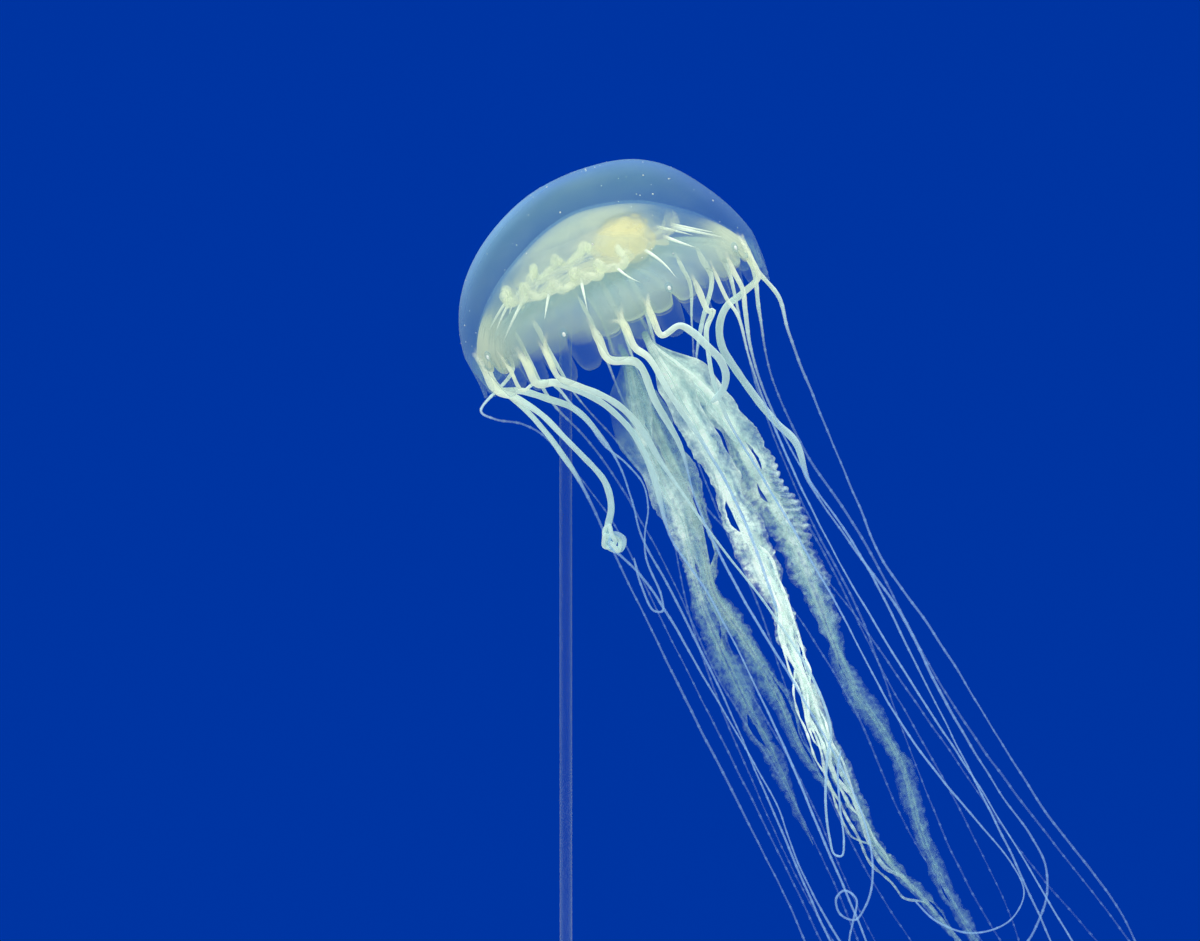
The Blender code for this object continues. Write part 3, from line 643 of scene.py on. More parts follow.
# ---------------------------------------------------------------------------------------------
# The roof of the stomach's 16 pouches: a thin milky skin that lines the jelly's hollow, grown
# fast to it, drawn out in fine streaks from the crown to the rim and cream towards the rim.
LINING_GAP = 0.35 * MM
LINING_WALL = 0.30 * MM
LINING_HEM = 3.4 * MM
HEM_FLARE = 0.9 * MM
HEM_ROWS = 5
LINING_CREAM = (0.63, 0.72, 0.50)
LINING_GREY = (0.34, 0.46, 0.42)
LINING_PAINTED_GLOW = 0.5  # how much of its colour is painted glow, which lifts its shade
FRONT_PATCH = (12.0 * MM, -43.0 * MM, 5.0 * MM)  # where the hollow is drawn up and milkiest

lining_profile = []
for turn in stepped(math.pi / 2, hollow_turn, 32):
    height = HOLLOW_HEIGHT * math.sin(turn)
    lining_profile.append((max(0.0, hollow_radius(height) - LINING_GAP), height - LINING_GAP))
hem_radius = hollow_radius(RIM_HEIGHT) - LINING_GAP
hem_heights = stepped(RIM_HEIGHT, LINING_HEM, HEM_ROWS)
for i in range(1, HEM_ROWS + 1):
    flare = HEM_FLARE * (i / HEM_ROWS) ** 1.5
    lining_profile.append((hem_radius + flare, hem_heights[i] - LINING_GAP))
inner = [(max(0.0, r - LINING_WALL), z - LINING_WALL) for r, z in lining_profile]
lining = bell_spin(lining_profile + inner[::-1], BELL_SLOTS * 8, "bell_lining")


def near_patch(tree, upright):
    """1 at the milky patch in front, falling to 0 some way off, on the upright place."""
    return spread_in(tree, distance_in(tree, upright, FRONT_PATCH), 9 * MM, 24 * MM, 1.0, 0.0)


def at_the_ends(tree, upright_x):
    """1 at the bell's two sides, where the pouches are drawn together, and 0 in the middle."""
    aside = node(tree, "ShaderNodeMath", upright_x, operation="ABSOLUTE").outputs[0]
    return spread_in(tree, aside, 29 * MM, 42 * MM)


def radial_streaks(tree, upright):
    """Fine streaks that run out from the bell's axis, on the upright place."""
    level = node(tree, "ShaderNodeVectorMath", upright, (1.0, 1.0, 0.0), operation="MULTIPLY")
    outward = node(tree, "ShaderNodeVectorMath", level.outputs["Vector"], operation="NORMALIZE")
    return noise_in(tree, outward.outputs["Vector"], 13.0, 3.0)


def flesh_with_painted_glow(tree, value, stops, base, painted_glow):
    """Colours flesh partly with painted glow: its base is dimmed, and the rest is painted glow that
    lifts its shade.
    """
    feed(
        tree,
        Base_Color=ramp_in(tree, value, [(stop, dimmed(tone, base)) for stop, tone in stops]),
        Emission_Color=ramp_in(tree, value, stops),
        Emission_Strength=painted_glow,
    )


milky_lining, tree = new_finish("milky_lining", 0.45, 0.15)
upright, upright_x, _, upright_z = place_in(tree, "upright")
edge = facing_in(tree, 0.5)
streaks = radial_streaks(tree, upright)
ends = at_the_ends(tree, upright_x)
# Cream near the rim, which reaches higher up at the two ends, and grey above.
cream_height = sum_in(tree, "ADD", upright_z, sum_in(tree, "MULTIPLY", ends, -4.5 * MM))
near_rim = spread_in(tree, cream_height, 20 * MM, 8 * MM)
creamy = sum_in(tree, "ADD", near_rim, spread_in(tree, streaks, 0.36, 0.66, 0.0, 0.4))
creamy = sum_in(tree, "MULTIPLY", creamy, spread_in(tree, edge, 0.35, 0.80, 0.12, 1.0))
lining_tones = ((0.1, LINING_GREY), (0.9, LINING_CREAM))
# Part of its colour is painted glow, which lifts its shade where the lamps reach it less.
flesh_with_painted_glow(tree, creamy, lining_tones, 1.0 - LINING_PAINTED_GLOW, LINING_PAINTED_GLOW)
# How dense it is: more edge-on, in streaks, near the rim and at the ends, and less towards +X, which
# paints shade on that side.
film = spread_in(tree, edge, 0.20, 0.75, 0.16, 0.56)
soft_edge = spread_in(tree, edge, 0.42, 0.94, 1.0, 0.03)
soft_edge = sum_in(tree, "MAXIMUM", soft_edge, sum_in(tree, "MULTIPLY", near_rim, 0.95))
low = sum_in(tree, "MAXIMUM", near_patch(tree, upright), ends)
hem_height = sum_in(tree, "ADD", upright_z, sum_in(tree, "MULTIPLY", low, 3.6 * MM))
hem = spread_in(tree, hem_height, 3.4 * MM, 9 * MM)
rim_dense = spread_in(tree, cream_height, 19 * MM, 8 * MM, 0.40, 1.45)
streaky = spread_in(tree, streaks, 0.36, 0.66, 0.75, 1.2)
ends_dense = spread_in(tree, ends, 0.0, 1.0, 1.0, 2.2)
# Painted shade: less dense, so darker against the backdrop, towards +X.
less_dense_to_plus_x = spread_in(tree, upright_x, 12 * MM, 26 * MM, 1.0, 0.40)
shares = (film, soft_edge, hem, rim_dense, streaky, ends_dense, less_dense_to_plus_x)
feed(tree, Alpha=sum_in(tree, "MULTIPLY", *shares))
bump_in(tree, streaks, 0.2, 0.4 * MM)
lining.data.materials.append(milky_lining)
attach(lining, "root")

# ---------------------------------------------------------------------------------------------
# The swimming muscle: the thin floor of the pouches, which closes the jelly's hollow from below
# as a shallow dome. It is finely ringed, slightly pleated, milky, and clear towards the rim.
MUSCLE_HEIGHT = 19.5 * MM
MUSCLE_DROP = 17.5 * MM
MUSCLE_CURVE = 3.5
MUSCLE_WALL = 0.35 * MM
MUSCLE_EDGE = 46.4 * MM
MUSCLE_STEPS = 36
MUSCLE_PLEAT = 0.55 * MM
MUSCLE_SAG = 0.5 * MM
PLEATS_START = 12.0 * MM  # from the axis
PLEATS_GROW = 20.0 * MM  # over which they grow beyond their start
PLEATS_END = 47.0 * MM
PLEATS_FADE = 6.0 * MM  # over which they fade before their end
MUSCLE_RING = 1.1 * MM  # from one fine ring to the next
MUSCLE_MILK = (0.46, 0.60, 0.50)
MUSCLE_BLUE = (0.29, 0.47, 0.47)
MUSCLE_PAINTED_GLOW = 0.4


def muscle_height(radius):
    return MUSCLE_HEIGHT - MUSCLE_DROP * (radius / HOLLOW_RADIUS) ** MUSCLE_CURVE


def muscle_shape(point, angle):
    """Lifts the muscle a little between the ridges and lets it sag and pleat unevenly."""
    radius = point.xy.length
    share = smoothstep((radius - PLEATS_START) / PLEATS_GROW)
    share *= smoothstep((PLEATS_END - radius) / PLEATS_FADE)
    uneven = noise.noise(Vector((9.0 * math.sin(angle), 9.0 * math.cos(angle), radius * 30)))
    lift = share * (MUSCLE_PLEAT * (0.5 - at_ridge(angle)) + MUSCLE_SAG * uneven)
    return as_living(point + Vector((0.0, 0.0, lift)), angle)


muscle_profile = []
for i in range(MUSCLE_STEPS + 1):
    radius = MUSCLE_EDGE * (i / MUSCLE_STEPS) ** 0.9
    muscle_profile.append((radius, muscle_height(radius)))
muscle_under = [(r, z - MUSCLE_WALL) for r, z in muscle_profile]
muscle_profile += muscle_under[::-1]
muscle = bell_spin(muscle_profile, BELL_SLOTS * 8, "swimming_muscle", muscle_shape)
muscle_milk, tree = new_finish("muscle_milk", 0.45, 0.15)
cloud, _ = grain_in(tree, 70.0)
upright, upright_x, _, upright_z = place_in(tree, "upright")
ends = at_the_ends(tree, upright_x)
milky = sum_in(
    tree,
    "ADD",
    radial_streaks(tree, upright),
    spread_in(tree, upright_z, 16 * MM, 8 * MM, 0.0, 0.5),
    sum_in(tree, "MULTIPLY", ends, 0.3),
)
muscle_tones = ((0.35, MUSCLE_BLUE), (0.9, MUSCLE_MILK))
# Part of its colour is painted glow, which lifts its shade.
flesh_with_painted_glow(tree, milky, muscle_tones, 1.0 - MUSCLE_PAINTED_GLOW, MUSCLE_PAINTED_GLOW)
drawn_down = sum_in(tree, "MAXIMUM", near_patch(tree, upright), ends)
hem_height = sum_in(tree, "ADD", upright_z, sum_in(tree, "MULTIPLY", drawn_down, 4.5 * MM))
film = spread_in(tree, facing_in(tree, 0.5), 0.2, 0.95, 0.26, 0.62)
drawn = spread_in(tree, drawn_down, 0.0, 1.0, 0.85, 1.8)
hem = spread_in(tree, hem_height, 4 * MM, 9 * MM)
blotch = spread_in(tree, cloud, 0.35, 0.65, 0.85, 1.1)
less_dense_to_plus_x = spread_in(tree, upright_x, 18 * MM, 30 * MM, 1.0, 0.62)
feed(tree, Alpha=sum_in(tree, "MULTIPLY", film, drawn, hem, blotch, less_dense_to_plus_x))
from_crown = node(tree, "ShaderNodeVectorMath", upright, operation="LENGTH").outputs["Value"]
rings = sum_in(tree, "MULTIPLY", from_crown, math.tau / MUSCLE_RING)
wave = node(tree, "ShaderNodeMath", rings, operation="SINE").outputs[0]
bump_in(tree, wave, 0.15, 0.15 * MM)
muscle.data.materials.append(muscle_milk)
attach(muscle, "root")

# ---------------------------------------------------------------------------------------------
# The stomach: a crumpled cream mass between the pouches' roof and the swimming muscle, yellow
# in the middle and ragged where the pouches leave it.
STOMACH_RADIUS = 29.5 * MM
STOMACH_WIDEST = 31.5 * MM
STOMACH_FOOT = STOMACH_RADIUS - 2.4 * MM  # the radius of its underside
STOMACH_SWELL = 1.2 * MM  # of its side, halfway down
STOMACH_TUCK = 2.0 * MM  # of its side, at the foot
STOMACH_GAP = 0.95 * MM  # under the hollow's roof, clear of the lining
STOMACH_FLOOR_GAP = 2.2 * MM  # over the swimming muscle
STOMACH_LOWEST = 0.9 * MM  # over the swimming muscle, where it sags
STOMACH_STEPS = 32 * 12
STOMACH_WALL_ROWS = 12
LOBE_DEPTH = 1.5 * MM
FOLD_DEPTH = 1.5 * MM
YOLK_MIDDLE = (12.4 * MM, -15.0 * MM, 25.0 * MM)
STOMACH_YELLOW = (0.76, 0.76, 0.46)
STOMACH_CREAM = (0.68, 0.76, 0.56)
STOMACH_PAINTED_GLOW = 0.72  # how much of its colour is painted glow, which lifts the shade on its side and underside
STOMACH_SOFT = 8.0 * MM  # over which it fades in from its upper outer edge
UNDER_ROOF = 3.0 * MM  # over which it gets denser and more crumpled below its top


def stomach_shape(point, angle):
    """Draws the side out at the ridges, in between them, and crumples the side and underside."""
    radius = point.xy.length
    if radius < 0.1 * MM:
        return as_living(point, angle)
    below = min(1.0, max(0.0, (hollow_height(radius) - STOMACH_GAP - point.z) / UNDER_ROOF))
    outer = smoothstep((radius / STOMACH_RADIUS - 0.55) / 0.45)
    lobes = LOBE_DEPTH * (at_ridge(angle) ** 1.5 - 0.55)
    lobes += FOLD_DEPTH * (noise.noise(point * 150.0) + 0.6 * noise.noise(point * 330.0))
    drawn = min(radius + outer * lobes, STOMACH_WIDEST)
    height = point.z + hollow_height(drawn) - hollow_height(radius)
    height = min(height, hollow_height(drawn) - STOMACH_GAP)
    crumple = FOLD_DEPTH * below * (noise.noise(point * 190.0 + Vector((5, 0, 0))) + 0.3)
    height = max(height + crumple, muscle_height(drawn) + STOMACH_LOWEST)
    return as_living(on_bell(drawn, angle, height), angle)


side_top = hollow_height(STOMACH_RADIUS) - STOMACH_GAP
side_foot = muscle_height(STOMACH_RADIUS) + STOMACH_FLOOR_GAP
stomach_profile = []
for radius in stepped(0.0, STOMACH_RADIUS, 36):
    stomach_profile.append((radius, hollow_height(radius) - STOMACH_GAP))
for i in range(1, STOMACH_WALL_ROWS):
    share = i / STOMACH_WALL_ROWS
    swell = STOMACH_SWELL * math.sin(math.pi * share) - STOMACH_TUCK * share**2
    stomach_profile.append((STOMACH_RADIUS + swell, side_top + (side_foot - side_top) * share))
for radius in stepped(0.0, STOMACH_FOOT, 30)[::-1]:
    stomach_profile.append((radius, muscle_height(radius) + STOMACH_FLOOR_GAP))
stomach_dish = bell_spin(stomach_profile, STOMACH_STEPS, "stomach_dish", stomach_shape)
stomach_dish.data.attributes.new("softness", "FLOAT", "POINT")
stomach_data = stomach_dish.data.attributes
for place, soft in zip(stomach_data["upright"].data, stomach_data["softness"].data):
    radius = Vector(place.vector).xy.length
    from_edge = math.hypot(radius - STOMACH_RADIUS, place.vector[2] - side_top)
    below = (hollow_height(radius) - STOMACH_GAP - place.vector[2]) / UNDER_ROOF
    soft.value = smoothstep(from_edge / STOMACH_SOFT) * (0.62 + 0.38 * smoothstep(below))


def amount_in(tree, name):
    """An attribute of the mesh that is a plain amount."""
    return node(tree, "ShaderNodeAttribute", attribute_name=name).outputs["Fac"]


stomach_yellow, tree = new_finish("stomach_yellow", 0.5, 0.2)
cloud, grain = grain_in(tree, 75.0)
upright, upright_x, _, _ = place_in(tree, "upright")
off_yolk = distance_in(tree, upright, YOLK_MIDDLE)
off_yolk = sum_in(tree, "ADD", off_yolk, spread_in(tree, cloud, 0.3, 0.7, -3 * MM, 3 * MM))
pale = spread_in(tree, off_yolk, 6 * MM, 30 * MM)
stomach_tones = ((0.12, STOMACH_YELLOW), (0.55, STOMACH_CREAM))
# Much of its colour is painted glow, which lifts the shade on its side and underside.
flesh_with_painted_glow(tree, pale, stomach_tones, 1.0 - STOMACH_PAINTED_GLOW, STOMACH_PAINTED_GLOW)
film = spread_in(tree, pale, 0.12, 0.60, 0.74, 0.72)
soft_edge = spread_in(tree, facing_in(tree, 0.5), 0.62, 0.98, 1.0, 0.12)
blotch = spread_in(tree, cloud, 0.35, 0.65, 1.2, 0.75)
faded = spread_in(tree, amount_in(tree, "softness"), 0.0, 1.0, 0.10, 1.0)
less_dense_to_plus_x = spread_in(tree, upright_x, 14 * MM, 26 * MM, 1.0, 0.28)
feed(tree, Alpha=sum_in(tree, "MULTIPLY", film, soft_edge, blotch, faded, less_dense_to_plus_x))
bump_in(tree, grain, 0.3, 0.4 * MM)
stomach_dish.data.materials.append(stomach_yellow)
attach(stomach_dish, "root")
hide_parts("stomach")

# ---------------------------------------------------------------------------------------------
# The yellow core of the stomach: a soft round lump of half-digested food off the bell's middle,
# inside the crumpled mass and seen through it.
CORE_RADIUS = 11.4 * MM
CORE_FLAT = 0.75
CORE_YELLOW = (0.92, 0.86, 0.40)
CORE_BASE = 0.4  # how bright its own colour is; the rest of its brightness is painted glow
CORE_PAINTED_GLOW = 0.61

core_bm = bmesh.new()
bmesh.ops.create_icosphere(core_bm, subdivisions=5, radius=CORE_RADIUS)
for vert in core_bm.verts:
    lump = 1.0 + 0.12 * noise.noise(vert.co * 110.0) + 0.05 * noise.noise(vert.co * 320.0)
    spot = Vector(YOLK_MIDDLE) + Vector((vert.co.x, vert.co.y, CORE_FLAT * vert.co.z)) * lump
    spot.x += sideways(spot.z)
    vert.co = BELL_PLACE @ spot
stomach_core = mesh_of(core_bm, "stomach_core")
core_finish, tree = new_finish("core_yellow", 0.55, 0.1)
cloud, grain = grain_in(tree, 90.0)
# Most of its colour is painted glow, which lifts its shade.
flesh_with_painted_glow(tree, cloud, ((0.3, dimmed(CORE_YELLOW, 0.88)), (0.7, CORE_YELLOW)), CORE_BASE, CORE_PAINTED_GLOW)
feed(tree, Alpha=spread_in(tree, facing_in(tree, 0.5), 0.02, 0.66, 0.86, 0.0))
bump_in(tree, grain, 0.2, 0.3 * MM)
stomach_core.data.materials.append(core_finish)
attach(stomach_core, "root")

# ---------------------------------------------------------------------------------------------
# The four egg ribbons: soft cream bands that meander up and down inside the stomach's side,
# one to each quarter of the bell.
RIBBON_RADIUS = 29.9 * MM
RIBBON_WIDE = 1.5 * MM
RIBBON_DEEP = 1.8 * MM
RIBBON_ENDS_IN = 3.0 * MM  # nearer the bell's axis at both ends
RIBBON_WANDER = 0.7 * MM
RIBBON_WOBBLE = 0.6 * MM
RIBBON_FOOT_GAP = 1.2 * MM
RIBBON_TOP_GAP = 1.6 * MM
RIBBON_FOLDS = 4
RIBBON_STEPS = 260
RIBBON_SIDES = 14
RIBBON_SLOTS = (2, 12, 20, 28)  # where the middle of each lies
RIBBON_SPANS = (64.0, 80.0, 80.0, 92.0)  # degrees round the bell
HIDDEN_NEAR = 15.0 * MM  # the near ribbons fade from here on, towards +X
HIDDEN_FAR = 1.0 * MM  # and the far ones from here
HIDDEN_OVER = 9.0 * MM  # over this distance
RIBBON_PAINTED_GLOW = 0.40
EGG_YELLOW = (0.80, 0.85, 0.58)


def frames_along(points):
    """At each point of a line: the way on, and two ways aside that turn as little as they can."""
    found = []
    aside = Vector((0.0, 1.0, 0.0))
    for i, point in enumerate(points):
        onward = (points[min(i + 1, len(points) - 1)] - points[max(i - 1, 0)]).normalized()
        aside = (aside - onward * aside.dot(onward)).normalized()
        found.append((onward, aside, onward.cross(aside)))
    return found


def oval(wide, deep, turn):
    return wide * math.cos(turn), deep * math.sin(turn)


def add_strand(bm, points, sides, section, marks=()):
    """A closed strand along a line, made from a grid that is wrapped round it.

    section(i, turn) gives how far the skin is from the line, along each of the two ways aside.
    marks pairs a vertex layer with a function of the point's number.
    """
    frames = frames_along(points)
    last = len(points) - 1
    made = bmesh.ops.create_grid(bm, x_segments=last, y_segments=sides, size=0.5)
    for vert in made["verts"]:
        i = round((vert.co.x + 0.5) * last)
        turn = (vert.co.y + 0.5) * math.tau
        one, two = section(i, turn)
        if i in (0, last):
            one, two = 0.0, 0.0
        vert.co = points[i] + frames[i][1] * one + frames[i][2] * two
        for layer, value in marks:
            vert[layer] = value(i)


def reaches(points):
    """The distance of each point along its line."""
    found = [0.0]
    for one, two in zip(points, points[1:]):
        found.append(found[-1] + (two - one).length)
    return found


ribbons_bm = bmesh.new()
ribbon_whole = ribbons_bm.verts.layers.float.new("ribbon_whole")
for quarter in range(4):
    spots = []
    whole = []
    for share in stepped(0.0, 1.0, RIBBON_STEPS):
        along = math.radians(RIBBON_SPANS[quarter]) * (share - 0.5)
        angle = slot_angle(RIBBON_SLOTS[quarter]) + along
        turn = math.tau * RIBBON_FOLDS * share + quarter
        radius = RIBBON_RADIUS - RIBBON_ENDS_IN * (2.0 * share - 1.0) ** 4
        radius += RIBBON_WANDER * math.sin(0.5 * turn) + RIBBON_WOBBLE * math.cos(1.7 * turn)
        foot = muscle_height(radius) + STOMACH_FLOOR_GAP + RIBBON_FOOT_GAP
        top = hollow_height(radius) - STOMACH_GAP - RIBBON_TOP_GAP
        swing = 0.5 + 0.5 * math.sin(turn) * (0.7 + 0.3 * math.sin(2.3 * turn))
        height = foot + (top - foot) * (0.95 * swing**1.4)
        lean = 0.05 * math.cos(turn + 0.8)
        spots.append(as_living(on_bell(radius, angle + lean, height), angle))
        hidden_from = HIDDEN_NEAR if math.cos(angle) > 0.0 else HIDDEN_FAR
        hidden = 0.92 * smoothstep((radius * math.sin(angle) - hidden_from) / HIDDEN_OVER)
        whole.append(smoothstep(5.0 * min(share, 1.0 - share)) * (1.0 - hidden))

    def ribbon_section(i, turn):
        ends = min(1.0, 0.12 * i + 0.2, 0.12 * (RIBBON_STEPS - i) + 0.2) ** 0.5
        lumpy = 1.0 + 0.3 * noise.noise(Vector((0.13 * i, 3.0 * quarter, 0.8 * turn)))
        return oval(RIBBON_WIDE * ends * lumpy, RIBBON_DEEP * ends * lumpy, turn)

    marks = ((ribbon_whole, lambda i: whole[i]),)
    add_strand(ribbons_bm, spots, RIBBON_SIDES, ribbon_section, marks)
ribbons = mesh_of(ribbons_bm, "egg_ribbons")
ribbon_finish, tree = new_finish("egg_yellow", 0.5, 0.2)
cloud, grain = grain_in(tree, 260.0)
tone = two_tone(tree, cloud, EGG_YELLOW, 0.8)
film = spread_in(tree, facing_in(tree, 0.5), 0.0, 0.66, 0.70, 0.0)
alpha = sum_in(tree, "MULTIPLY", film, amount_in(tree, "ribbon_whole"))
# Part of its colour is painted glow, which lifts its shade.
feed(tree, Base_Color=tone, Emission_Color=tone, Emission_Strength=RIBBON_PAINTED_GLOW, Alpha=alpha)
bump_in(tree, grain, 0.3, 0.2 * MM)
ribbons.data.materials.append(ribbon_finish)
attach(ribbons, "root")

# ---------------------------------------------------------------------------------------------
# The 16 ridges that part the stomach's pouches: stiff white cords of jelly that start at the
# stomach's side, stand a little off the swimming muscle and taper out short of the rim.
RIDGE_START = 28.0 * MM
RIDGE_END = 40.5 * MM
RIDGE_WIDTH = 0.46 * MM
RIDGE_DEEPER = 1.2
RIDGE_STEPS = 40
RIDGE_SIDES = 14
RIDGE_LIFT = 2.6 * MM  # over the swimming muscle at its end, and more at its start
RIDGE_RISE = 2.2 * MM
RIDGE_CREAM = (0.88, 0.95, 0.80)
RIDGE_PAINTED_GLOW = 0.32


def ridge_section(i, turn):
    size = RIDGE_WIDTH * max((1.0 - (i / RIDGE_STEPS) ** 1.5) ** 0.9, 0.04)
    return oval(size, RIDGE_DEEPER * size, turn)


ridges_bm = bmesh.new()
ridge_out = ridges_bm.verts.layers.float.new("ridge_out")
for pouch in range(RIDGE_COUNT):
    length = (RIDGE_END - RIDGE_START) * (1.0 + 0.22 * math.sin(3.7 * pouch))
    spots = []
    for share in stepped(0.0, 1.0, RIDGE_STEPS):
        radius = RIDGE_START + length * share
        angle = slot_angle(1 + 2 * pouch) + 0.09 * math.sin(2.1 * pouch) * share**2
        height = muscle_height(radius) + RIDGE_LIFT + RIDGE_RISE * (1.0 - share) ** 2
        spots.append(as_living(on_bell(radius, angle, height), angle))
    marks = ((ridge_out, lambda i: i / RIDGE_STEPS),)
    add_strand(ridges_bm, spots, RIDGE_SIDES, ridge_section, marks)
ridges = mesh_of(ridges_bm, "pouch_ridges")
ridge_finish, tree = new_finish("ridge_cream", 0.4, 0.25)
cloud, _ = grain_in(tree, 150.0)
tone = two_tone(tree, cloud, RIDGE_CREAM, 0.85)
alpha = spread_in(tree, amount_in(tree, "ridge_out"), 0.0, 0.30, 0.05, 0.92)
# Part of its colour is painted glow, which lifts its shade.
feed(tree, Base_Color=tone, Emission_Color=tone, Emission_Strength=RIDGE_PAINTED_GLOW, Alpha=alpha)
ridges.data.materials.append(ridge_finish)
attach(ridges, "root")

# ---------------------------------------------------------------------------------------------
# The eight sense organs: a white grain in a small clear hood, one in every fourth cleft of the
# rim, where the jelly thins out.
ORGAN_RADIUS = 46.3 * MM
ORGAN_HEIGHT = 8.2 * MM
GRAIN_RADIUS = 0.62 * MM
HOOD_RADIUS = 1.5 * MM
HOOD_IN = 0.2 * MM  # nearer the bell's axis than its grain
HOOD_UP = 0.7 * MM
ORGAN_SHAPE = Matrix.Diagonal((0.85, 0.62, 1.15, 1.0))
ORGAN_WHITE = (0.95, 0.95, 0.86)
ORGAN_PAINTED_GLOW = 0.35

grains_bm = bmesh.new()
hoods_bm = bmesh.new()
for slot in range(0, BELL_SLOTS, BELL_SLOTS // SENSE_ORGANS):
    angle = slot_angle(slot)
    for bm, size, radius, height in (
        (grains_bm, GRAIN_RADIUS, ORGAN_RADIUS, ORGAN_HEIGHT),
        (hoods_bm, HOOD_RADIUS, ORGAN_RADIUS - HOOD_IN, ORGAN_HEIGHT + HOOD_UP),
    ):
        place = Matrix.Translation(as_living(on_bell(radius, angle, height), angle))
        shape = BELL_TURN @ Matrix.Rotation(angle, 4, "Z") @ ORGAN_SHAPE
        bmesh.ops.create_icosphere(bm, subdivisions=3, radius=size, matrix=place @ shape)
sense_grains = mesh_of(grains_bm, "sense_grains")
grain_finish, tree = new_finish("sense_white", 0.3)
cloud, _ = grain_in(tree, 500.0)
tone = two_tone(tree, cloud, ORGAN_WHITE, 0.85)
# Part of its colour is painted glow, which lifts its shade.
feed(tree, Base_Color=tone, Emission_Color=tone, Emission_Strength=ORGAN_PAINTED_GLOW)
sense_grains.data.materials.append(grain_finish)
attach(sense_grains, "root")
sense_hoods = mesh_of(hoods_bm, "sense_hoods")
sense_hoods.data.materials.append(jelly)
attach(sense_hoods, "root")

# ---------------------------------------------------------------------------------------------
# The mouth stem: a short, four-cornered, pleated tube of flesh that hangs from the stomach and
# splits into the four mouth arms.
STEM_TOP = 19.3 * MM
STEM_END = -11.0 * MM
STEM_RADIUS = 8.0 * MM
STEM_WAIST = 0.22
STEM_CORNERS = 0.20
STEM_PLEATS = 0.05
STEM_FOLDS = 20
STEM_WRINKLES = 46
STEM_ROWS = 48
STEM_SIDES = 128
ARM_WHITE = (0.82, 0.97, 0.91)
ARM_SHADE = (0.29, 0.57, 0.64)


def place_on_stem(vert_place):
    """A point of a flat grid, wrapped round the stem and drawn in at its waist."""
    down = vert_place.x + 0.5
    turn = (vert_place.y + 0.5) * math.tau
    height = STEM_TOP + (STEM_END - STEM_TOP) * down
    corner = 1.0 + STEM_CORNERS * down * math.cos(4 * turn + math.pi)
    pleat = math.sin(STEM_FOLDS * turn + 5.0 * down + 2.0 * math.sin(3.0 * turn))
    pleat += 0.6 * math.sin(STEM_WRINKLES * turn)
    waist = 1.0 - STEM_WAIST * math.sin(math.pi * down)
    closed = min(1.0, 12.0 * down, 16.0 * (1.0 - down)) ** 0.5
    radius = STEM_RADIUS * waist * corner * (1.0 + STEM_PLEATS * pleat) * closed
    point = on_bell(radius, turn, height)
    point.x += sideways(height) * (1.0 - down)
    return BELL_PLACE @ point


stem_bm = bmesh.new()
stem_down = stem_bm.verts.layers.float.new("stem_down")
stem_grid = bmesh.ops.create_grid(
    stem_bm, x_segments=STEM_ROWS, y_segments=STEM_SIDES, size=0.5
)
for vert in stem_grid["verts"]:
    vert[stem_down] = vert.co.x + 0.5
    vert.co = place_on_stem(vert.co)
stem = mesh_of(stem_bm, "mouth_tube")
stem_finish, tree = new_finish("stem_flesh", 0.4, 0.3)
cloud, grain = grain_in(tree, 110.0)
film = spread_in(tree, cloud, 0.3, 0.7, 0.22, 0.50)
faded = spread_in(tree, amount_in(tree, "stem_down"), 0.45, 0.95, 1.0, 0.15)
feed(
    tree,
    Base_Color=ramp_in(tree, cloud, ((0.3, ARM_SHADE), (0.65, ARM_WHITE))),
    Alpha=sum_in(tree, "MULTIPLY", film, faded),
)
bump_in(tree, grain, 0.3, 0.3 * MM)
stem.data.materials.append(stem_finish)
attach(stem, "root")
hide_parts("mouth_stem")

# ---------------------------------------------------------------------------------------------
# The four mouth arms: each a thick milky rib with a wide, thin, frilled sheet down both sides
# and two narrower curtains standing off it. The sheets are gathered more and more to their edge.
STREAM_LEAN = math.radians(28.0)
STREAM_BOW = 6.0  # millimetres to and fro in depth, over the length below
STREAM_BOW_LENGTH = 330.0
# A name, then its bends: along the stream, across it, depth and half width, in millimetres.
ARMS = {
    "left": (
        (11.2, -4.4, -3.3, 3.8), (22, -7.5, -4.6, 4.9), (34, -11, -5.5, 5.6), (50, -12.5, -6, 6.0),
        (65, -13.5, -6, 5.0), (88, -19, -6, 3.2), (104, -21, -5.6, 4.4), (121, -22, -5, 4.0),
        (146, -22.5, -4, 3.0), (176, -24.5, -3, 1.0)),
    "back": (
        (11.2, -4.4, 3.9, 3.8), (25, -6, 5.6, 5.0), (45, -7.5, 6.6, 6.0), (70, -9.5, 7, 5.0),
        (92, -15, 7, 3.6), (108, -13.5, 7, 4.2), (130, -12.3, 7, 3.6), (150, -13.5, 6.5, 2.4),
        (172, -10, 6, 0.9)),
    "front": (
        (11.2, 4.4, -3.3, 3.8), (25, 5, -5, 5.2), (42, 5.6, -6, 6.0), (73, 3.4, -7, 5.5),
        (98, 2.8, -7, 4.4), (118, -0.6, -7, 3.6), (141, -4, -6.5, 3.4), (166, -6, -6, 3.0),
        (187, -6.5, -5, 2.7), (209, -1, -4, 2.2), (236, 5, -3, 1.0)),
    "right": (
        (11.2, 4.4, 3.9, 3.8), (22, 9, 5, 5.5), (36, 13.5, 5.5, 6.5), (60, 15, 5, 7.0),
        (87, 15.5, 5, 5.8), (118, 12, 4.5, 4.0), (138, 10.5, 4, 3.6), (165, 12.5, 4, 3.3),
        (194, 7, 4, 2.9), (223, 6.5, 4, 2.3), (252, 11, 4, 1.0)),
}
ARM_STARTS_EARLY = 5.0  # millimetres, so that it grows out of the stem
ARM_STEP = 0.42 * MM
ARM_TWIST = math.radians(32.0)
ARM_TWIST_LENGTH = 140.0
WILD_FROM = 15.0  # millimetres down an arm, where its sheets begin to be ragged
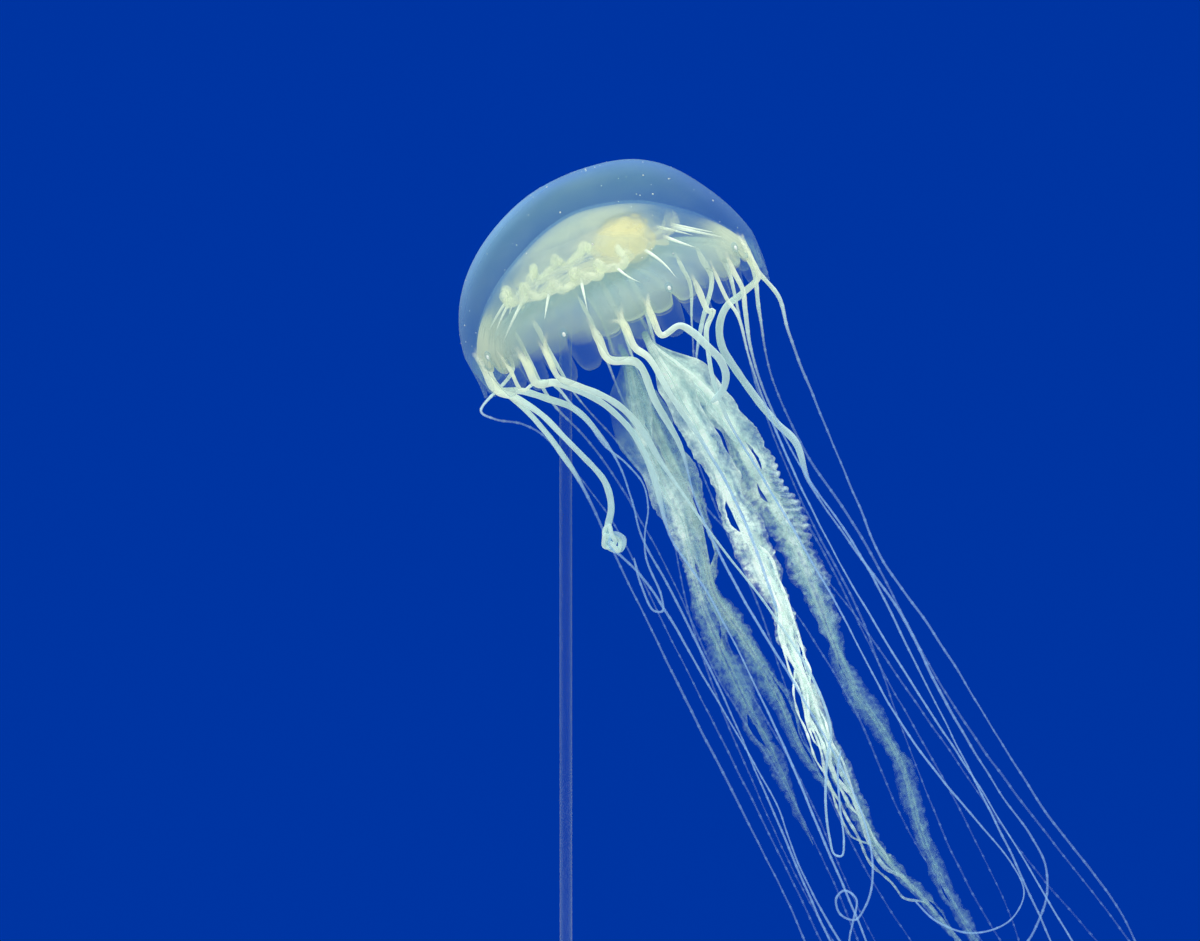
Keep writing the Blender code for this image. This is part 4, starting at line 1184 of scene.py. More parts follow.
WILD_OVER = 70.0  # and over how many more they become so
ARM_PAINTED_GLOW_TONE = (0.05, 0.09, 0.10)  # the painted glow of the thinnest flesh
ARM_PAINTED_GLOW = 0.23
RIB_SHARE = 0.26  # of the arm's half width
RIB_SIDES = 16
SHEET_STEPS = 14
SHEET_WALL = 0.22 * MM
NARROW_ARM = 3.4 * MM  # half width; an arm narrower than 0.7 of this is frilled less
CURVE_STEP = 0.3 * MM  # of the fine line that a curve is first made as
# The side of the rib that a sheet leaves it on, its share of the arm's half width, how full its
# frill is, and how far down the arm it reaches.
Sheet = namedtuple("Sheet", "side share fullness length")
SHEETS = (
    Sheet(0.0, 1.04, 1.0, 1.0),
    Sheet(180.0, 1.04, 1.0, 0.94),
    Sheet(68.0, 0.70, 1.2, 0.80),
    Sheet(246.0, 0.66, 1.2, 0.86),
)
# How milky each arm is, from 0 to 1, so many millimetres down it.
ARM_MILK = {
    "left": (
        (0, 0.05), (9, 0.40), (26, 0.74), (60, 0.74), (85, 0.44), (105, 0.26), (146, 0.16),
        (180, 0.08)),
    "back": (
        (0, 0.05), (10, 0.35), (40, 0.62), (75, 0.58), (110, 0.34), (150, 0.20), (175, 0.10)),
    "front": (
        (0, 0.15), (5, 0.85), (18, 1.05), (60, 1.0), (90, 1.10), (118, 1.12), (138, 0.70),
        (160, 0.46), (190, 0.34), (240, 0.22)),
    "right": (
        (0, 0.15), (5, 1.05), (18, 1.15), (50, 0.92), (90, 0.68), (105, 0.44), (125, 0.26),
        (260, 0.13)),
}
# Loose white filaments that have come away from the front arm: where each starts and ends down
# the arm, how far aside it lies, its radius and a seed, in millimetres.
FILAMENTS = (
    (72, 128, -3.0, 0.42, 3.1),
    (84, 172, 2.6, 0.50, 4.7),
    (95, 150, 4.6, 0.36, 5.3),
    (100, 196, 0.8, 0.55, 6.9),
    (112, 182, 5.4, 0.34, 8.2),
    (120, 206, 3.4, 0.45, 9.6),
    (128, 190, -2.2, 0.38, 2.2),
)
FILAMENT_SIDES = 8
FILAMENT_MILK = ((0, 1.1), (125, 1.0), (150, 0.72), (175, 0.48), (210, 0.36))
# The right arm's outer sheet is gathered in even pleats over this stretch of millimetres.
PLEATS = ("right", 180.0, 54.0, 94.0)
PLEAT_ENDS = 8.0  # millimetres over which the pleats begin and end
PLEAT_LENGTH = 2.7
PLEAT_HEIGHT = 0.95 * MM
PLEAT_SCALLOP = 0.55 * MM
PLEAT_SLANT = 4.0  # millimetres further down at the edge than at the rib
# The left arm's outer sheet widens into a clear veil near the bell.
VEIL = ("left", 0.0, 22.0, 13.0)
VEIL_WIDTH = 5.5 * MM


def in_stream(along, across, depth):
    """A point given in millimetres along and across the stream behind the bell."""
    x = along * math.sin(STREAM_LEAN) + across * math.cos(STREAM_LEAN)
    z = across * math.sin(STREAM_LEAN) - along * math.cos(STREAM_LEAN)
    depth += STREAM_BOW * math.sin(math.tau * along / STREAM_BOW_LENGTH)
    return MARGIN_CENTRE + Vector((x, depth, z)) * MM


def mix(one, two, low, high, t):
    share = (t - low) / (high - low)
    return one * (1.0 - share) + two * share


def between(corners, knots, t):
    """The point at t on the smooth stretch between the second and third of four corners."""
    a, b, c, d = corners
    k, m, n, o = knots
    first = mix(a, b, k, m, t)
    second = mix(b, c, m, n, t)
    third = mix(c, d, n, o, t)
    return mix(mix(first, second, k, n, t), mix(second, third, m, o, t), m, n, t)


def evenly(points, spacing):
    """The same line with its points moved to an even spacing."""
    reach = reaches(points)
    count = max(2, round(reach[-1] / spacing))
    made = []
    k = 0
    for i in range(count + 1):
        target = reach[-1] * i / count
        while k < len(points) - 2 and reach[k + 1] < target:
            k += 1
        share = (target - reach[k]) / max(reach[k + 1] - reach[k], 1e-9)
        made.append(points[k].lerp(points[k + 1], share))
    return made


def curve_through(points, spacing):
    """Points at an even spacing on a smooth curve through the given ones."""
    ends = [2 * points[0] - points[1]] + points + [2 * points[-1] - points[-2]]
    fine = []
    for corners in zip(ends, ends[1:], ends[2:], ends[3:]):
        knots = [0.0]
        for one, two in zip(corners, corners[1:]):
            knots.append(knots[-1] + (two - one).length ** 0.5)
        pieces = max(4, round((corners[2] - corners[1]).length / CURVE_STEP))
        for i in range(pieces):
            t = knots[1] + (knots[2] - knots[1]) * i / pieces
            fine.append(between(corners, knots, t))
    fine.append(points[-1].copy())
    return evenly(fine, spacing)


def ripple(reach, seed, spread):
    """A smooth random number from about -1 to 1 that changes over so many millimetres."""
    return 1.8 * noise.noise(Vector((reach / spread, 7.3 * seed, 1.9 * seed)))


ArmSpot = namedtuple("ArmSpot", "middle aside behind half_width reach")


def arm_course(bends):
    """An arm's middle line, ways aside, half widths and reaches, turning slowly on itself."""
    shown = []
    first = bends[0]
    for along, across, depth, half_width in ((first[0] - ARM_STARTS_EARLY, *first[1:]), *bends):
        shown.append(Vector((*in_stream(along, across, depth), half_width * MM)))
    line = curve_through(shown, ARM_STEP)
    middles = [spot.xyz for spot in line]
    reach = [value / MM for value in reaches(middles)]
    course = []
    for i, middle in enumerate(middles):
        onward = (middles[min(i + 1, len(line) - 1)] - middles[max(i - 1, 0)]).normalized()
        twist = ARM_TWIST * math.sin(math.tau * reach[i] / ARM_TWIST_LENGTH)
        aside = Vector((0.0, 1.0, 0.0)).cross(onward).normalized()
        aside = Matrix.Rotation(twist, 3, onward) @ aside
        course.append(ArmSpot(middle, aside, onward.cross(aside), line[i].w, reach[i]))
    return course


def along_table(table, reach):
    """The value at a distance, from a list of (distance, value)."""
    for (low, one), (high, two) in zip(table, table[1:]):
        if reach <= high:
            return one + (two - one) * max(0.0, reach - low) / (high - low)
    return table[-1][1]


def veil_at(arm_name, side, reach):
    """How wide the clear veil is at a distance down a sheet, from 0 to 1."""
    name, veil_side, middle, spread = VEIL
    if (name, veil_side) != (arm_name, side):
        return 0.0
    return math.exp(-(((reach - middle) / spread) ** 2))


def pleats_at(arm_name, side, reach):
    """How strongly a sheet is pleated at a distance down it, from 0 to 1."""
    name, pleat_side, first, last = PLEATS
    if (name, pleat_side) != (arm_name, side):
        return 0.0
    return smoothstep((reach - first) / PLEAT_ENDS) * smoothstep((last - reach) / PLEAT_ENDS)


def sheet_point(spot, out, sheet, arm_name, seed):
    """A point of a frilled sheet, as far out from the rib as out says, 1 at its edge."""
    middle, aside, behind, half_width, reach = spot
    side, share, fullness, _ = sheet
    swing = math.radians(side) + 0.34 * ripple(reach, seed, 24.0) * (0.4 + 0.6 * out)
    way = aside * math.cos(swing) + behind * math.sin(swing)
    over = behind * math.cos(swing) - aside * math.sin(swing)
    pleats = pleats_at(arm_name, side, reach)
    wild = smoothstep((reach - WILD_FROM) / WILD_OVER) * (1.0 - 0.7 * pleats)
    ragged = 1.0 + 0.30 * ripple(reach, seed + 1, 11.0)
    rough = smoothstep(0.5 + 0.9 * ripple(reach, seed + 9, 26.0))
    ragged += wild * (0.5 + 0.5 * rough) * 0.13 * ripple(reach, seed + 2, 3.1)
    ragged += wild * rough * 0.08 * ripple(reach, seed + 3, 0.9)
    loose = wild * 0.55 * smoothstep(1.4 * ripple(reach, seed + 8, 19.0) - 0.2)
    width = half_width * share * ragged * (0.10 + loose + (0.90 - loose) * out)
    width += VEIL_WIDTH * veil_at(arm_name, side, reach) * out**2
    drift = reach + 1.2 * out * ripple(reach, seed + 4, 6.0)
    lift = half_width * (0.30 * out**1.4 + 0.5 * loose) * ripple(reach, seed + 5, 13.0)
    frill = 1.1 * ripple(drift, seed + 6, 3.3) + 0.7 * rough * out**2 * ripple(drift, seed + 7, 1.3)
    lift += fullness * MM * out**1.8 * (0.12 + 0.88 * wild) * frill
    lift *= min(1.0, 0.3 + half_width / NARROW_ARM)
    fold = math.tau * (reach - PLEAT_SLANT * out) / PLEAT_LENGTH
    lift += PLEAT_HEIGHT * pleats * smoothstep(2.0 * out) * math.sin(fold)
    width += PLEAT_SCALLOP * pleats * out**3 * math.cos(fold)
    return middle + way * width + over * lift


def add_sheet(bm, course, sheet, arm_name, seed, layers):
    """One frilled sheet down the whole arm, as thin flesh with both its faces."""
    last = len(course) - 1
    on_arm, milkiness = layers
    made = bmesh.ops.create_grid(bm, x_segments=last, y_segments=SHEET_STEPS, size=0.5)
    for vert in made["verts"]:
        i = round((vert.co.x + 0.5) * last)
        out = round((vert.co.y + 0.5) * SHEET_STEPS) / SHEET_STEPS
        reach = course[i].reach
        ending = min(1.0, 0.04 * max(0, last * sheet.length - i) + 0.02)
        ending *= min(1.0, 0.02 * i + 0.1)
        point = sheet_point(course[i], out, sheet, arm_name, seed)
        vert.co = course[i].middle.lerp(point, ending)
        vert[on_arm] = (out, reach * MM, 0.0)
        veil = veil_at(arm_name, sheet.side, reach) * smoothstep(2.2 * out - 0.5)
        vert[milkiness] = along_table(ARM_MILK[arm_name], reach) * (1.0 - 0.85 * veil)
    faces = list({face for vert in made["verts"] for face in vert.link_faces})
    bmesh.ops.solidify(bm, geom=faces, thickness=SHEET_WALL)


def add_rib(bm, course, arm_name, seed, layers):
    """The thick rib down an arm's middle."""
    on_arm, milkiness = layers

    def rib_section(i, turn):
        taper = min(1.0, 0.05 * (len(course) - 1 - i)) ** 0.5
        lumpy = 1.0 + 0.14 * ripple(course[i].reach, seed, 5.0)
        size = RIB_SHARE * course[i].half_width * taper * lumpy
        return oval(size, size, turn)

    marks = (
        (on_arm, lambda i: Vector((0.0, course[i].reach * MM, 0.0))),
        (milkiness, lambda i: along_table(ARM_MILK[arm_name], course[i].reach)),
    )
    add_strand(bm, [spot.middle for spot in course], RIB_SIDES, rib_section, marks)


def add_filament(bm, course, filament, layers):
    """One loose filament in front of the rib, fast to the arm at both its ends."""
    first, end, away, size, seed = filament
    on_arm, milkiness = layers
    chosen = [spot for spot in course if first <= spot.reach <= end]
    line = []
    for middle, aside, behind, _, reach in chosen:
        free = smoothstep((reach - first) / 14.0) * smoothstep((end - reach) / 9.0)
        shift = aside * (away + 1.5 * ripple(reach, seed, 15.0)) * free
        shift -= behind * (2.4 + 1.2 * ripple(reach, seed + 0.5, 12.0)) * free
        line.append(middle + shift * MM)

    def filament_section(i, turn):
        ends = min(1.0, 0.08 * i + 0.1, 0.08 * (len(line) - 1 - i) + 0.1)
        swell = size * MM * ends * (1.0 + 0.35 * ripple(chosen[i].reach, seed + 4, 3.0))
        return oval(swell, swell, turn)

    marks = (
        (on_arm, lambda i: Vector((0.0, chosen[i].reach * MM, 0.0))),
        (milkiness, lambda i: along_table(FILAMENT_MILK, chosen[i].reach)),
    )
    add_strand(bm, line, FILAMENT_SIDES, filament_section, marks)


def streaks_in(tree, place, stretch, detail):
    """Noise that is drawn out down an arm, on a stretched copy of its place."""
    made = node(tree, "ShaderNodeVectorMath", place, stretch, operation="MULTIPLY")
    return noise_in(tree, made.outputs["Vector"], 1.0, detail)


arm_finish, tree = new_finish("arm_flesh", 0.42, 0.3)
cloud, grain = grain_in(tree, 130.0)
arm_place, out, down, _ = place_in(tree, "on_arm")
# Milky in streaks, whitest on the rib and along the lips of the sheets.
streaks = sum_in(tree, "ADD", cloud, streaks_in(tree, arm_place, (3.0, 240.0, 0.0), 4.0))
streaks = spread_in(tree, streaks, 0.72, 1.30, 0.0, 0.50)
rib_white = spread_in(tree, out, 0.0, 0.45, 0.30, 0.0)
lip_white = spread_in(tree, out, 0.80, 1.0, 0.0, 0.14)
lines = sum_in(tree, "MAXIMUM", rib_white, lip_white)
milk = sum_in(tree, "ADD", streaks, lines, 0.24)
milk = sum_in(tree, "MULTIPLY", milk, amount_in(tree, "milkiness"))
film = spread_in(tree, milk, 0.0, 0.85, 0.02, 0.96)
# Further down, the edges are torn into barbs and the flesh is loose, like cotton.
loose = spread_in(tree, down, 35 * MM, 75 * MM, 0.25, 1.0)
barbs = sum_in(tree, "ADD", streaks_in(tree, arm_place, (1.6, 700.0, 0.0), 3.0), out)
torn = sum_in(tree, "MULTIPLY", spread_in(tree, barbs, 1.12, 1.45, 0.0, 0.85), loose)
whole = sum_in(tree, "SUBTRACT", 1.0, torn)
on_object = tree.nodes.new("ShaderNodeTexCoord").outputs["Object"]
cotton = spread_in(tree, noise_in(tree, on_object, 620.0, 3.0), 0.36, 0.62, -0.62, 0.45)
clumps = sum_in(tree, "ADD", sum_in(tree, "MULTIPLY", cotton, loose), 1.0)
# Part of its colour is painted glow, dim in the thinnest flesh, which lifts its shade.
feed(
    tree,
    Base_Color=ramp_in(tree, milk, ((0.15, ARM_SHADE), (0.80, ARM_WHITE))),
    Emission_Color=ramp_in(tree, milk, ((0.15, ARM_PAINTED_GLOW_TONE), (0.95, ARM_WHITE))),
    Emission_Strength=ARM_PAINTED_GLOW,
    Alpha=sum_in(tree, "MULTIPLY", film, whole, clumps),
)
bump_in(tree, grain, 0.35, 0.25 * MM)

for number, (arm_name, bends) in enumerate(ARMS.items()):
    course = arm_course(bends)
    arm_bm = bmesh.new()
    on_arm = arm_bm.verts.layers.float_vector.new("on_arm")
    milkiness = arm_bm.verts.layers.float.new("milkiness")
    layers = (on_arm, milkiness)
    for k, sheet in enumerate(SHEETS):
        add_sheet(arm_bm, course, sheet, arm_name, 10.0 * number + 2.3 * k + 1.0, layers)
    add_rib(arm_bm, course, arm_name, 5.0 * number + 3.0, layers)
    for filament in FILAMENTS if arm_name == "front" else ():
        add_filament(arm_bm, course, filament, layers)
    arm = mesh_of(arm_bm, "frilled_arm_" + arm_name)
    arm.data.materials.append(arm_finish)
    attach(arm, "root")
    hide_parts("arm_{}_upper".format(arm_name), "arm_{}_lower".format(arm_name))

# ---------------------------------------------------------------------------------------------
# The 24 tentacles: solid, soft threads that hang from the clefts of the rim. Near the bell they
# are drawn up short, thick and cream; further on they are stretched to fine, beaded threads.
BELL_ROOT = 45.8 * MM
# How a root runs down inside the flaps: its distance from the bell's axis, and its height.
ROOT_PATH = (
    (BELL_ROOT + 1.2 * MM, RIM_HEIGHT + 2.2 * MM),
    (BELL_ROOT + 0.5 * MM, RIM_HEIGHT - 1.2 * MM),
    (BELL_ROOT, 0.4 * RIM_HEIGHT),
    (BELL_ROOT, -3.2 * MM),
)
ROOT_FLARE = 0.18 * MM
ROOT_FLARE_LENGTH = 5.0
ROOT_DEPTH = 9.0  # millimetres of root, tapering up into the jelly
TAPER = 0.2
TAPER_LENGTH = 300.0
THINNING_LENGTH = 24.0
SETTLING_LENGTH = 46.0 * MM
DEPTH_WAVE = 1.2
DEPTH_WAVE_LENGTH = 78.0
THREAD_STEP = 0.5 * MM
THREAD_SIDES = 10
THREAD_SWAY = 0.12 * MM
FLATTENED = 0.74
SLIM_FROM = 1.0 * MM  # threads thinner than this have beads
SLIM_OVER = 0.4 * MM
BEAD_SPACING = 5.5
BEAD_LENGTH = 0.42
NEAR_MILK = 0.50  # how milky a near thread is, and how much less a far one
FAR_LESS_MILK = 0.34
HAIRPIN_MILK = 0.9
PRONG_SHARE = 0.70  # of the tentacle's radius
ROOT_CREAM = (0.86, 0.90, 0.68)
THREAD_WHITE = (0.66, 0.90, 0.88)
THREAD_PALE = (0.56, 0.83, 0.90)
THREAD_BLUE = (0.24, 0.50, 0.88)
THREAD_THIN = (0.27, 0.50, 0.84, 1.0)  # the finest tentacles, seen against the dark
THREAD_PAINTED_GLOW_TONE = (0.16, 0.26, 0.28)
THREAD_PAINTED_GLOW = 0.32
HAIRPIN_SLOT = 31  # the tentacle whose end is folded back, and is nearly as milky there as its start
PRONG_START = 11.0  # millimetres down a tentacle, where its side roots leave it
PRONG_SPREAD = 0.085  # radians round the rim
# The slots whose tentacle has side roots, and on which sides round the rim.
PRONGS = {2: (-1.2, 0.7), 3: (0.8,), 9: (-1.0, 1.0), 26: (1.0,), 29: (-0.8,), 30: (-1.1,), 31: (1.1,)}

# The knot that one tentacle has pulled itself into: where it is, how long and wide, its strand.
TANGLE_PLACE = (58.8, -35.4, -17.5)
TANGLE_LONG = 4.6
TANGLE_WIDE = 2.5
TANGLE_RADIUS = 0.70 * MM
TANGLE_STEPS = 150

# A tentacle's slot on the rim, its depth lane (millimetres, - is towards -Y), the radius and
# length of its contracted stretch, the radius beyond it, and the bends that it streams through:
# along the stream, across it, and where it crosses over itself a change of depth.
Tentacle = namedtuple("Tentacle", "slot lane thick thick_for thin bends")

TENTACLES = (
    # The front of the bell: one pair lies over the arms, and the short one hooks back.
    Tentacle(1, -33, 1.25, 60, 0.48, (
        (12, -1.5), (25, -2), (42, -2), (62, -6), (90, -7), (130, -5), (165, -5), (183, -9),
        (191, -13.5), (196, -18.5), (198, -23), (194, -26.3, -1), (189, -25, -2),
        (188, -21.5, -2.4), (192, -19.6, -2.7), (197.5, -23.8, -3.2), (203, -28, -3),
        (214, -31, -1.5), (240, -33))),
    Tentacle(2, -38, 1.20, 50, 0.60, (
        (12, 2.5), (26, 3), (40, 4.5), (60, 5.5), (84, 3.5), (102, 0.5))),
    Tentacle(3, -33, 1.25, 60, 0.95, (
        (8, 15.5), (12, 18.3), (18, 20), (24, 21.8), (29, 21), (33, 17.3), (34.5, 13))),
    # The right-hand side, one of which makes the wide turn back under the others.
    Tentacle(5, -24, 0.90, 55, 0.45, (
        (9, 27), (13, 22.5), (20, 19.5), (30, 16.5), (46, 15), (62, 16), (112, 18), (146, 18),
        (168, 20.5), (190, 25), (207, 28.5), (217, 27.5), (222, 21), (222.5, 13), (219, 5),
        (212, -1), (203, -4))),
    Tentacle(6, -19, 0.70, 25, 0.42, (
        (14, 33), (28, 30), (45, 27.5), (70, 25.5), (100, 25), (140, 27), (185, 31),
        (240, 34), (272, 36))),
    Tentacle(7, -14, 0.75, 30, 0.45, (
        (14, 36), (27, 31.5), (49, 28.5), (67, 28.5), (102, 32), (150, 31), (200, 30),
        (250, 27), (281, 25))),
    Tentacle(9, -9, 1.30, 92, 0.55, (
        (8.5, 43), (10, 37), (11, 31.5), (15, 27), (22, 24.3), (34, 25), (51, 28), (60, 30.6),
        (73, 28.5), (97, 31), (123, 34.5), (155, 34), (190, 36), (204, 38), (215, 37.5),
        (224, 33), (232, 24), (238, 12), (250, 2), (268, -3))),
    Tentacle(10, -2, 0.70, 30, 0.50, (
        (17, 47.5), (28, 45), (49, 42.5), (88, 39), (106, 37.5), (134, 41), (179, 44),
        (203, 46), (225, 50), (243, 52), (264, 50), (287, 43))),
    Tentacle(11, 5, 0.75, 30, 0.50, (
        (18, 40), (37, 34), (65, 32), (95, 35), (155, 35.5), (198, 41), (237, 48), (279, 54))),
    # The far side, behind the arms.
    Tentacle(13, 12, 0.70, 25, 0.42, (
        (20, 33), (45, 27), (80, 23.5), (120, 23), (165, 17), (210, 13), (255, 16), (279, 21))),
    Tentacle(14, 17, 0.80, 40, 0.42, (
        (14, 22), (24, 14.5), (36, 12.5), (60, 19), (95, 22), (140, 21), (190, 22), (232, 20),
        (256, 14))),
    Tentacle(15, 22, 0.70, 25, 0.42, (
        (15, 18), (40, 9), (80, 14), (118, 21), (165, 27), (212, 33), (262, 44))),
    Tentacle(17, 27, 0.70, 25, 0.40, (
        (20, 4), (60, -1), (105, -5), (150, -12), (200, -14), (245, -8), (268, 0))),
    Tentacle(18, 32, 0.80, 30, 0.42, (
        (20, -4), (60, -6), (100, 3), (145, 7), (195, 4), (240, 9), (274, 14))),
    Tentacle(19, 27, 0.70, 25, 0.40, (
        (20, -12), (60, -16), (100, -27), (150, -33), (200, -35), (244, -31))),
    Tentacle(21, 20, 0.80, 30, 0.42, (
        (15, -25), (40, -19), (80, -15), (118, -20), (160, -19), (205, -22), (248, -22))),
    Tentacle(22, 15, 0.70, 30, 0.42, (
        (12, -33), (35, -27), (75, -25), (118, -27), (165, -24), (215, -27), (252, -33))),
    Tentacle(23, 6, 0.55, 30, 0.42, (
        (5, -54), (9.5, -51), (15, -43.5), (21, -39.5), (36, -36), (58, -33), (90, -34),
        (135, -35), (180, -36), (228, -38))),
    # The left-hand side, where the roots bunch up, and one tentacle has knotted.
    Tentacle(25, 0, 0.95, 55, 0.52, (
        (7, -42), (17, -39), (38, -36), (62, -37), (119, -39), (153, -39.5), (190, -40.5),
        (215, -42), (246, -39))),
    Tentacle(26, -12, 1.10, 55, 0.48, (
        (5, -38), (11, -32), (17, -26.5), (28, -23), (39, -22), (50, -23.5), (63, -26.5),
        (80, -26.5), (120, -27.5), (165, -31), (212, -34), (243, -32))),
    Tentacle(27, -16, 1.20, 92, 0.50, (
        (5, -41), (13, -36.5), (22, -33.5), (31, -31), (42, -28.5), (50, -30.5), (56, -35),
        (60.5, -37, -0.4), (63, -34.3, -1.4), (60.5, -31.8, -2.4), (57.5, -33.8, -3.2),
        (60.5, -36.6, -3.6), (65, -35, -3.2), (73, -32.5, -1.5), (84, -31), (110, -30),
        (134, -29), (159, -28.5), (176, -31), (196, -31.5), (226, -29), (256, -27))),
    Tentacle(29, -21, 0.55, 30, 0.45, (
        (4, -37), (3.5, -33.5), (4.5, -29.5), (8, -27.3), (14, -26), (23, -24), (31, -23),
        (40, -19.5), (48, -18), (55, -20), (62, -25), (69, -28.2), (82, -29.5), (86.5, -31.5),
        (85, -34), (76, -33.6), (67, -31.5))),
    Tentacle(30, -25, 1.25, 78, 0.50, (
        (6, -27), (12, -21.5), (20, -16.5), (30, -13.5), (40, -13), (50, -14.5), (66, -18),
        (90, -16), (130, -17), (170, -20), (214, -24), (250, -28))),
    Tentacle(31, -28.5, 1.15, 62, 0.48, (
        (7, -23.5), (11, -20), (19, -14), (30, -10.5), (45, -9.5), (70, -6.5), (100, -1.5),
        (128, 0.5), (143, -2), (150, -7), (163, -14.5), (173, -18.3), (178, -19.3),
        (179.5, -17.5), (176, -14.8), (165, -10.4), (155, -6), (150, -2))),
)
ONE_LENGTH = (2, 3, 31)  # the slots whose solid is one piece; the others are in two lengths
# The tentacles' groups round the bell, each made as one piece: the first slot, and one past the last.
GROUPS = {"front": (0, 4), "right": (4, 12), "far": (12, 24), "left": (24, 32)}


def tentacle_line(tentacle):
    """A tentacle's middle line: down inside the flaps, then off through its bends."""
    angle = slot_angle(tentacle.slot)
    points = []
    for radius, height in ROOT_PATH:
        upright = on_bell(radius, angle, height)
        upright.x += sideways(height)
        points.append(BELL_PLACE @ upright)
    root_depth = points[-1].y
    lane = tentacle.lane * MM
    reach = 0.0
    for bend in tentacle.bends:
        wave = math.sin(math.tau * bend[0] / DEPTH_WAVE_LENGTH + 2.0 * tentacle.slot)
        point = in_stream(bend[0], bend[1], DEPTH_WAVE * wave)
        reach += (point.xz - points[-1].xz).length
        drift = smoothstep(reach / SETTLING_LENGTH)
        extra = bend[2] * MM if len(bend) > 2 else 0.0
        point.y = root_depth + (point.y + lane - root_depth) * drift + extra
        points.append(point)
    return curve_through(points, THREAD_STEP)


def thinning_at(tentacle, reach):
    """0 on a tentacle's thick stretch and 1 on its thread, so many millimetres from the root."""
    return smoothstep((reach - tentacle.thick_for) / THINNING_LENGTH + 0.5)


def tentacle_radius(tentacle, reach):
    """The radius so many millimetres from the root: a flare, a thick stretch, then a thread."""
    body = tentacle.thick + (tentacle.thin - tentacle.thick) * thinning_at(tentacle, reach)
    taper = 1.0 - TAPER * smoothstep(reach / TAPER_LENGTH)
    root = min(1.0, 0.40 + 0.7 * reach / ROOT_DEPTH)
    flare = ROOT_FLARE * math.exp(-max(0.0, reach - ROOT_DEPTH) / ROOT_FLARE_LENGTH)
    return (body * MM * taper + flare) * root


def milk_of(tentacle, reach):
    """How milky a tentacle is: dense where it is drawn up short, clearer as a far thread."""
    thread = NEAR_MILK - FAR_LESS_MILK * smoothstep((tentacle.lane + 24.0) / 36.0)
    if tentacle.slot == HAIRPIN_SLOT:
        thread = HAIRPIN_MILK
    thinner = (thread - 1.0) * thinning_at(tentacle, reach)
    root = smoothstep(1.15 * reach / ROOT_DEPTH - 0.1)
    return (1.0 + thinner - 0.12 * smoothstep(reach / TAPER_LENGTH)) * root


def root_prongs(tentacle, line, reach):
    """A tentacle's side roots: each a line from inside it up into the rim beside it."""
    angle = slot_angle(tentacle.slot)
    low = next(i for i, value in enumerate(reach) if value > PRONG_START)
    for side in PRONGS.get(tentacle.slot, ()):
        spread = side * PRONG_SPREAD
        rise = RIM_HEIGHT + (0.5 + 2.0 * side) * MM
        tip = as_living(on_bell(BELL_ROOT - 0.4 * MM, angle + spread, rise), angle + spread)
        fork = line[low // 2].lerp(tip, 0.25)
        yield curve_through([line[low], line[3 * low // 4], fork, tip], THREAD_STEP)


def tangle_line():
    """The knot in the tentacle at slot 27: a long loose trefoil, closed on itself."""
    along, across, depth = TANGLE_PLACE
    points = []
    for turn in stepped(0.0, math.tau, TANGLE_STEPS):
        one = math.sin(turn) + 2.0 * math.sin(2.0 * turn)
        two = math.cos(turn) - 2.0 * math.cos(2.0 * turn)
        points.append(
            in_stream(
                along + TANGLE_LONG / 3.0 * one,
                across + TANGLE_WIDE / 3.0 * two + 0.5 * math.sin(5.0 * turn),
                depth - 0.9 * math.sin(3.0 * turn) - 0.8,
            )
        )
    return points


def bead_at(reach, slot):
    """0 to 1: how far a point is up one of the small stinging beads strung along a thread."""
    number = math.floor(reach / BEAD_SPACING)
    centre = (number + 0.5 + 0.4 * math.sin(12.9 * number + 4.1 * slot)) * BEAD_SPACING
    return math.exp(-(((reach - centre) / BEAD_LENGTH) ** 2))


def add_tentacle(bm, tentacle, on_thread):
    """One tentacle, swaying slightly, flattened, strung with beads and with its side roots."""
    slot = tentacle.slot
    line = tentacle_line(tentacle)
    reach = [value / MM for value in reaches(line)]
    radii = [tentacle_radius(tentacle, value) for value in reach]
    slim = [smoothstep((SLIM_FROM - radius) / SLIM_OVER) for radius in radii]
    beads = [bead_at(value, slot) * share for value, share in zip(reach, slim)]
    tapers = [min(1.0, 0.12 * (len(line) - 1 - i) + 0.25) ** 0.5 for i in range(len(line))]
    for i, (_, aside, behind) in enumerate(frames_along(line)):
        sway = THREAD_SWAY * min(1.0, reach[i] / 15.0)
        line[i] += aside * sway * ripple(reach[i], slot + 0.3, 8.0)
        line[i] += behind * sway * ripple(reach[i], slot + 0.7, 9.5)

    def thread_section(i, turn):
        pinched = 1.0 + 0.06 * ripple(reach[i], slot + 0.1, 4.2) + 0.12 * beads[i]
        size = radii[i] * pinched * tapers[i]
        roll = 1.3 * math.sin(reach[i] / 31.0 + slot)
        one, two = oval(size, size * FLATTENED, turn)
        return (
            one * math.cos(roll) - two * math.sin(roll),
            one * math.sin(roll) + two * math.cos(roll),
        )

    def thread_mark(i):
        return Vector((reach[i] / TAPER_LENGTH, milk_of(tentacle, reach[i]), beads[i]))

    add_strand(bm, line, THREAD_SIDES, thread_section, ((on_thread, thread_mark),))
    for prong in root_prongs(tentacle, line, reach):
        last = len(prong) - 1
        stout = PRONG_SHARE * (tentacle.thick * MM + ROOT_FLARE)

        def prong_section(i, turn):
            size = stout * (1.0 - 0.35 * i / last)
            return oval(size, size, turn)

        def prong_mark(i):
            return Vector((0.01, smoothstep(1.25 * (1.0 - i / last)), 0.0))

        add_strand(bm, prong, THREAD_SIDES, prong_section, ((on_thread, prong_mark),))


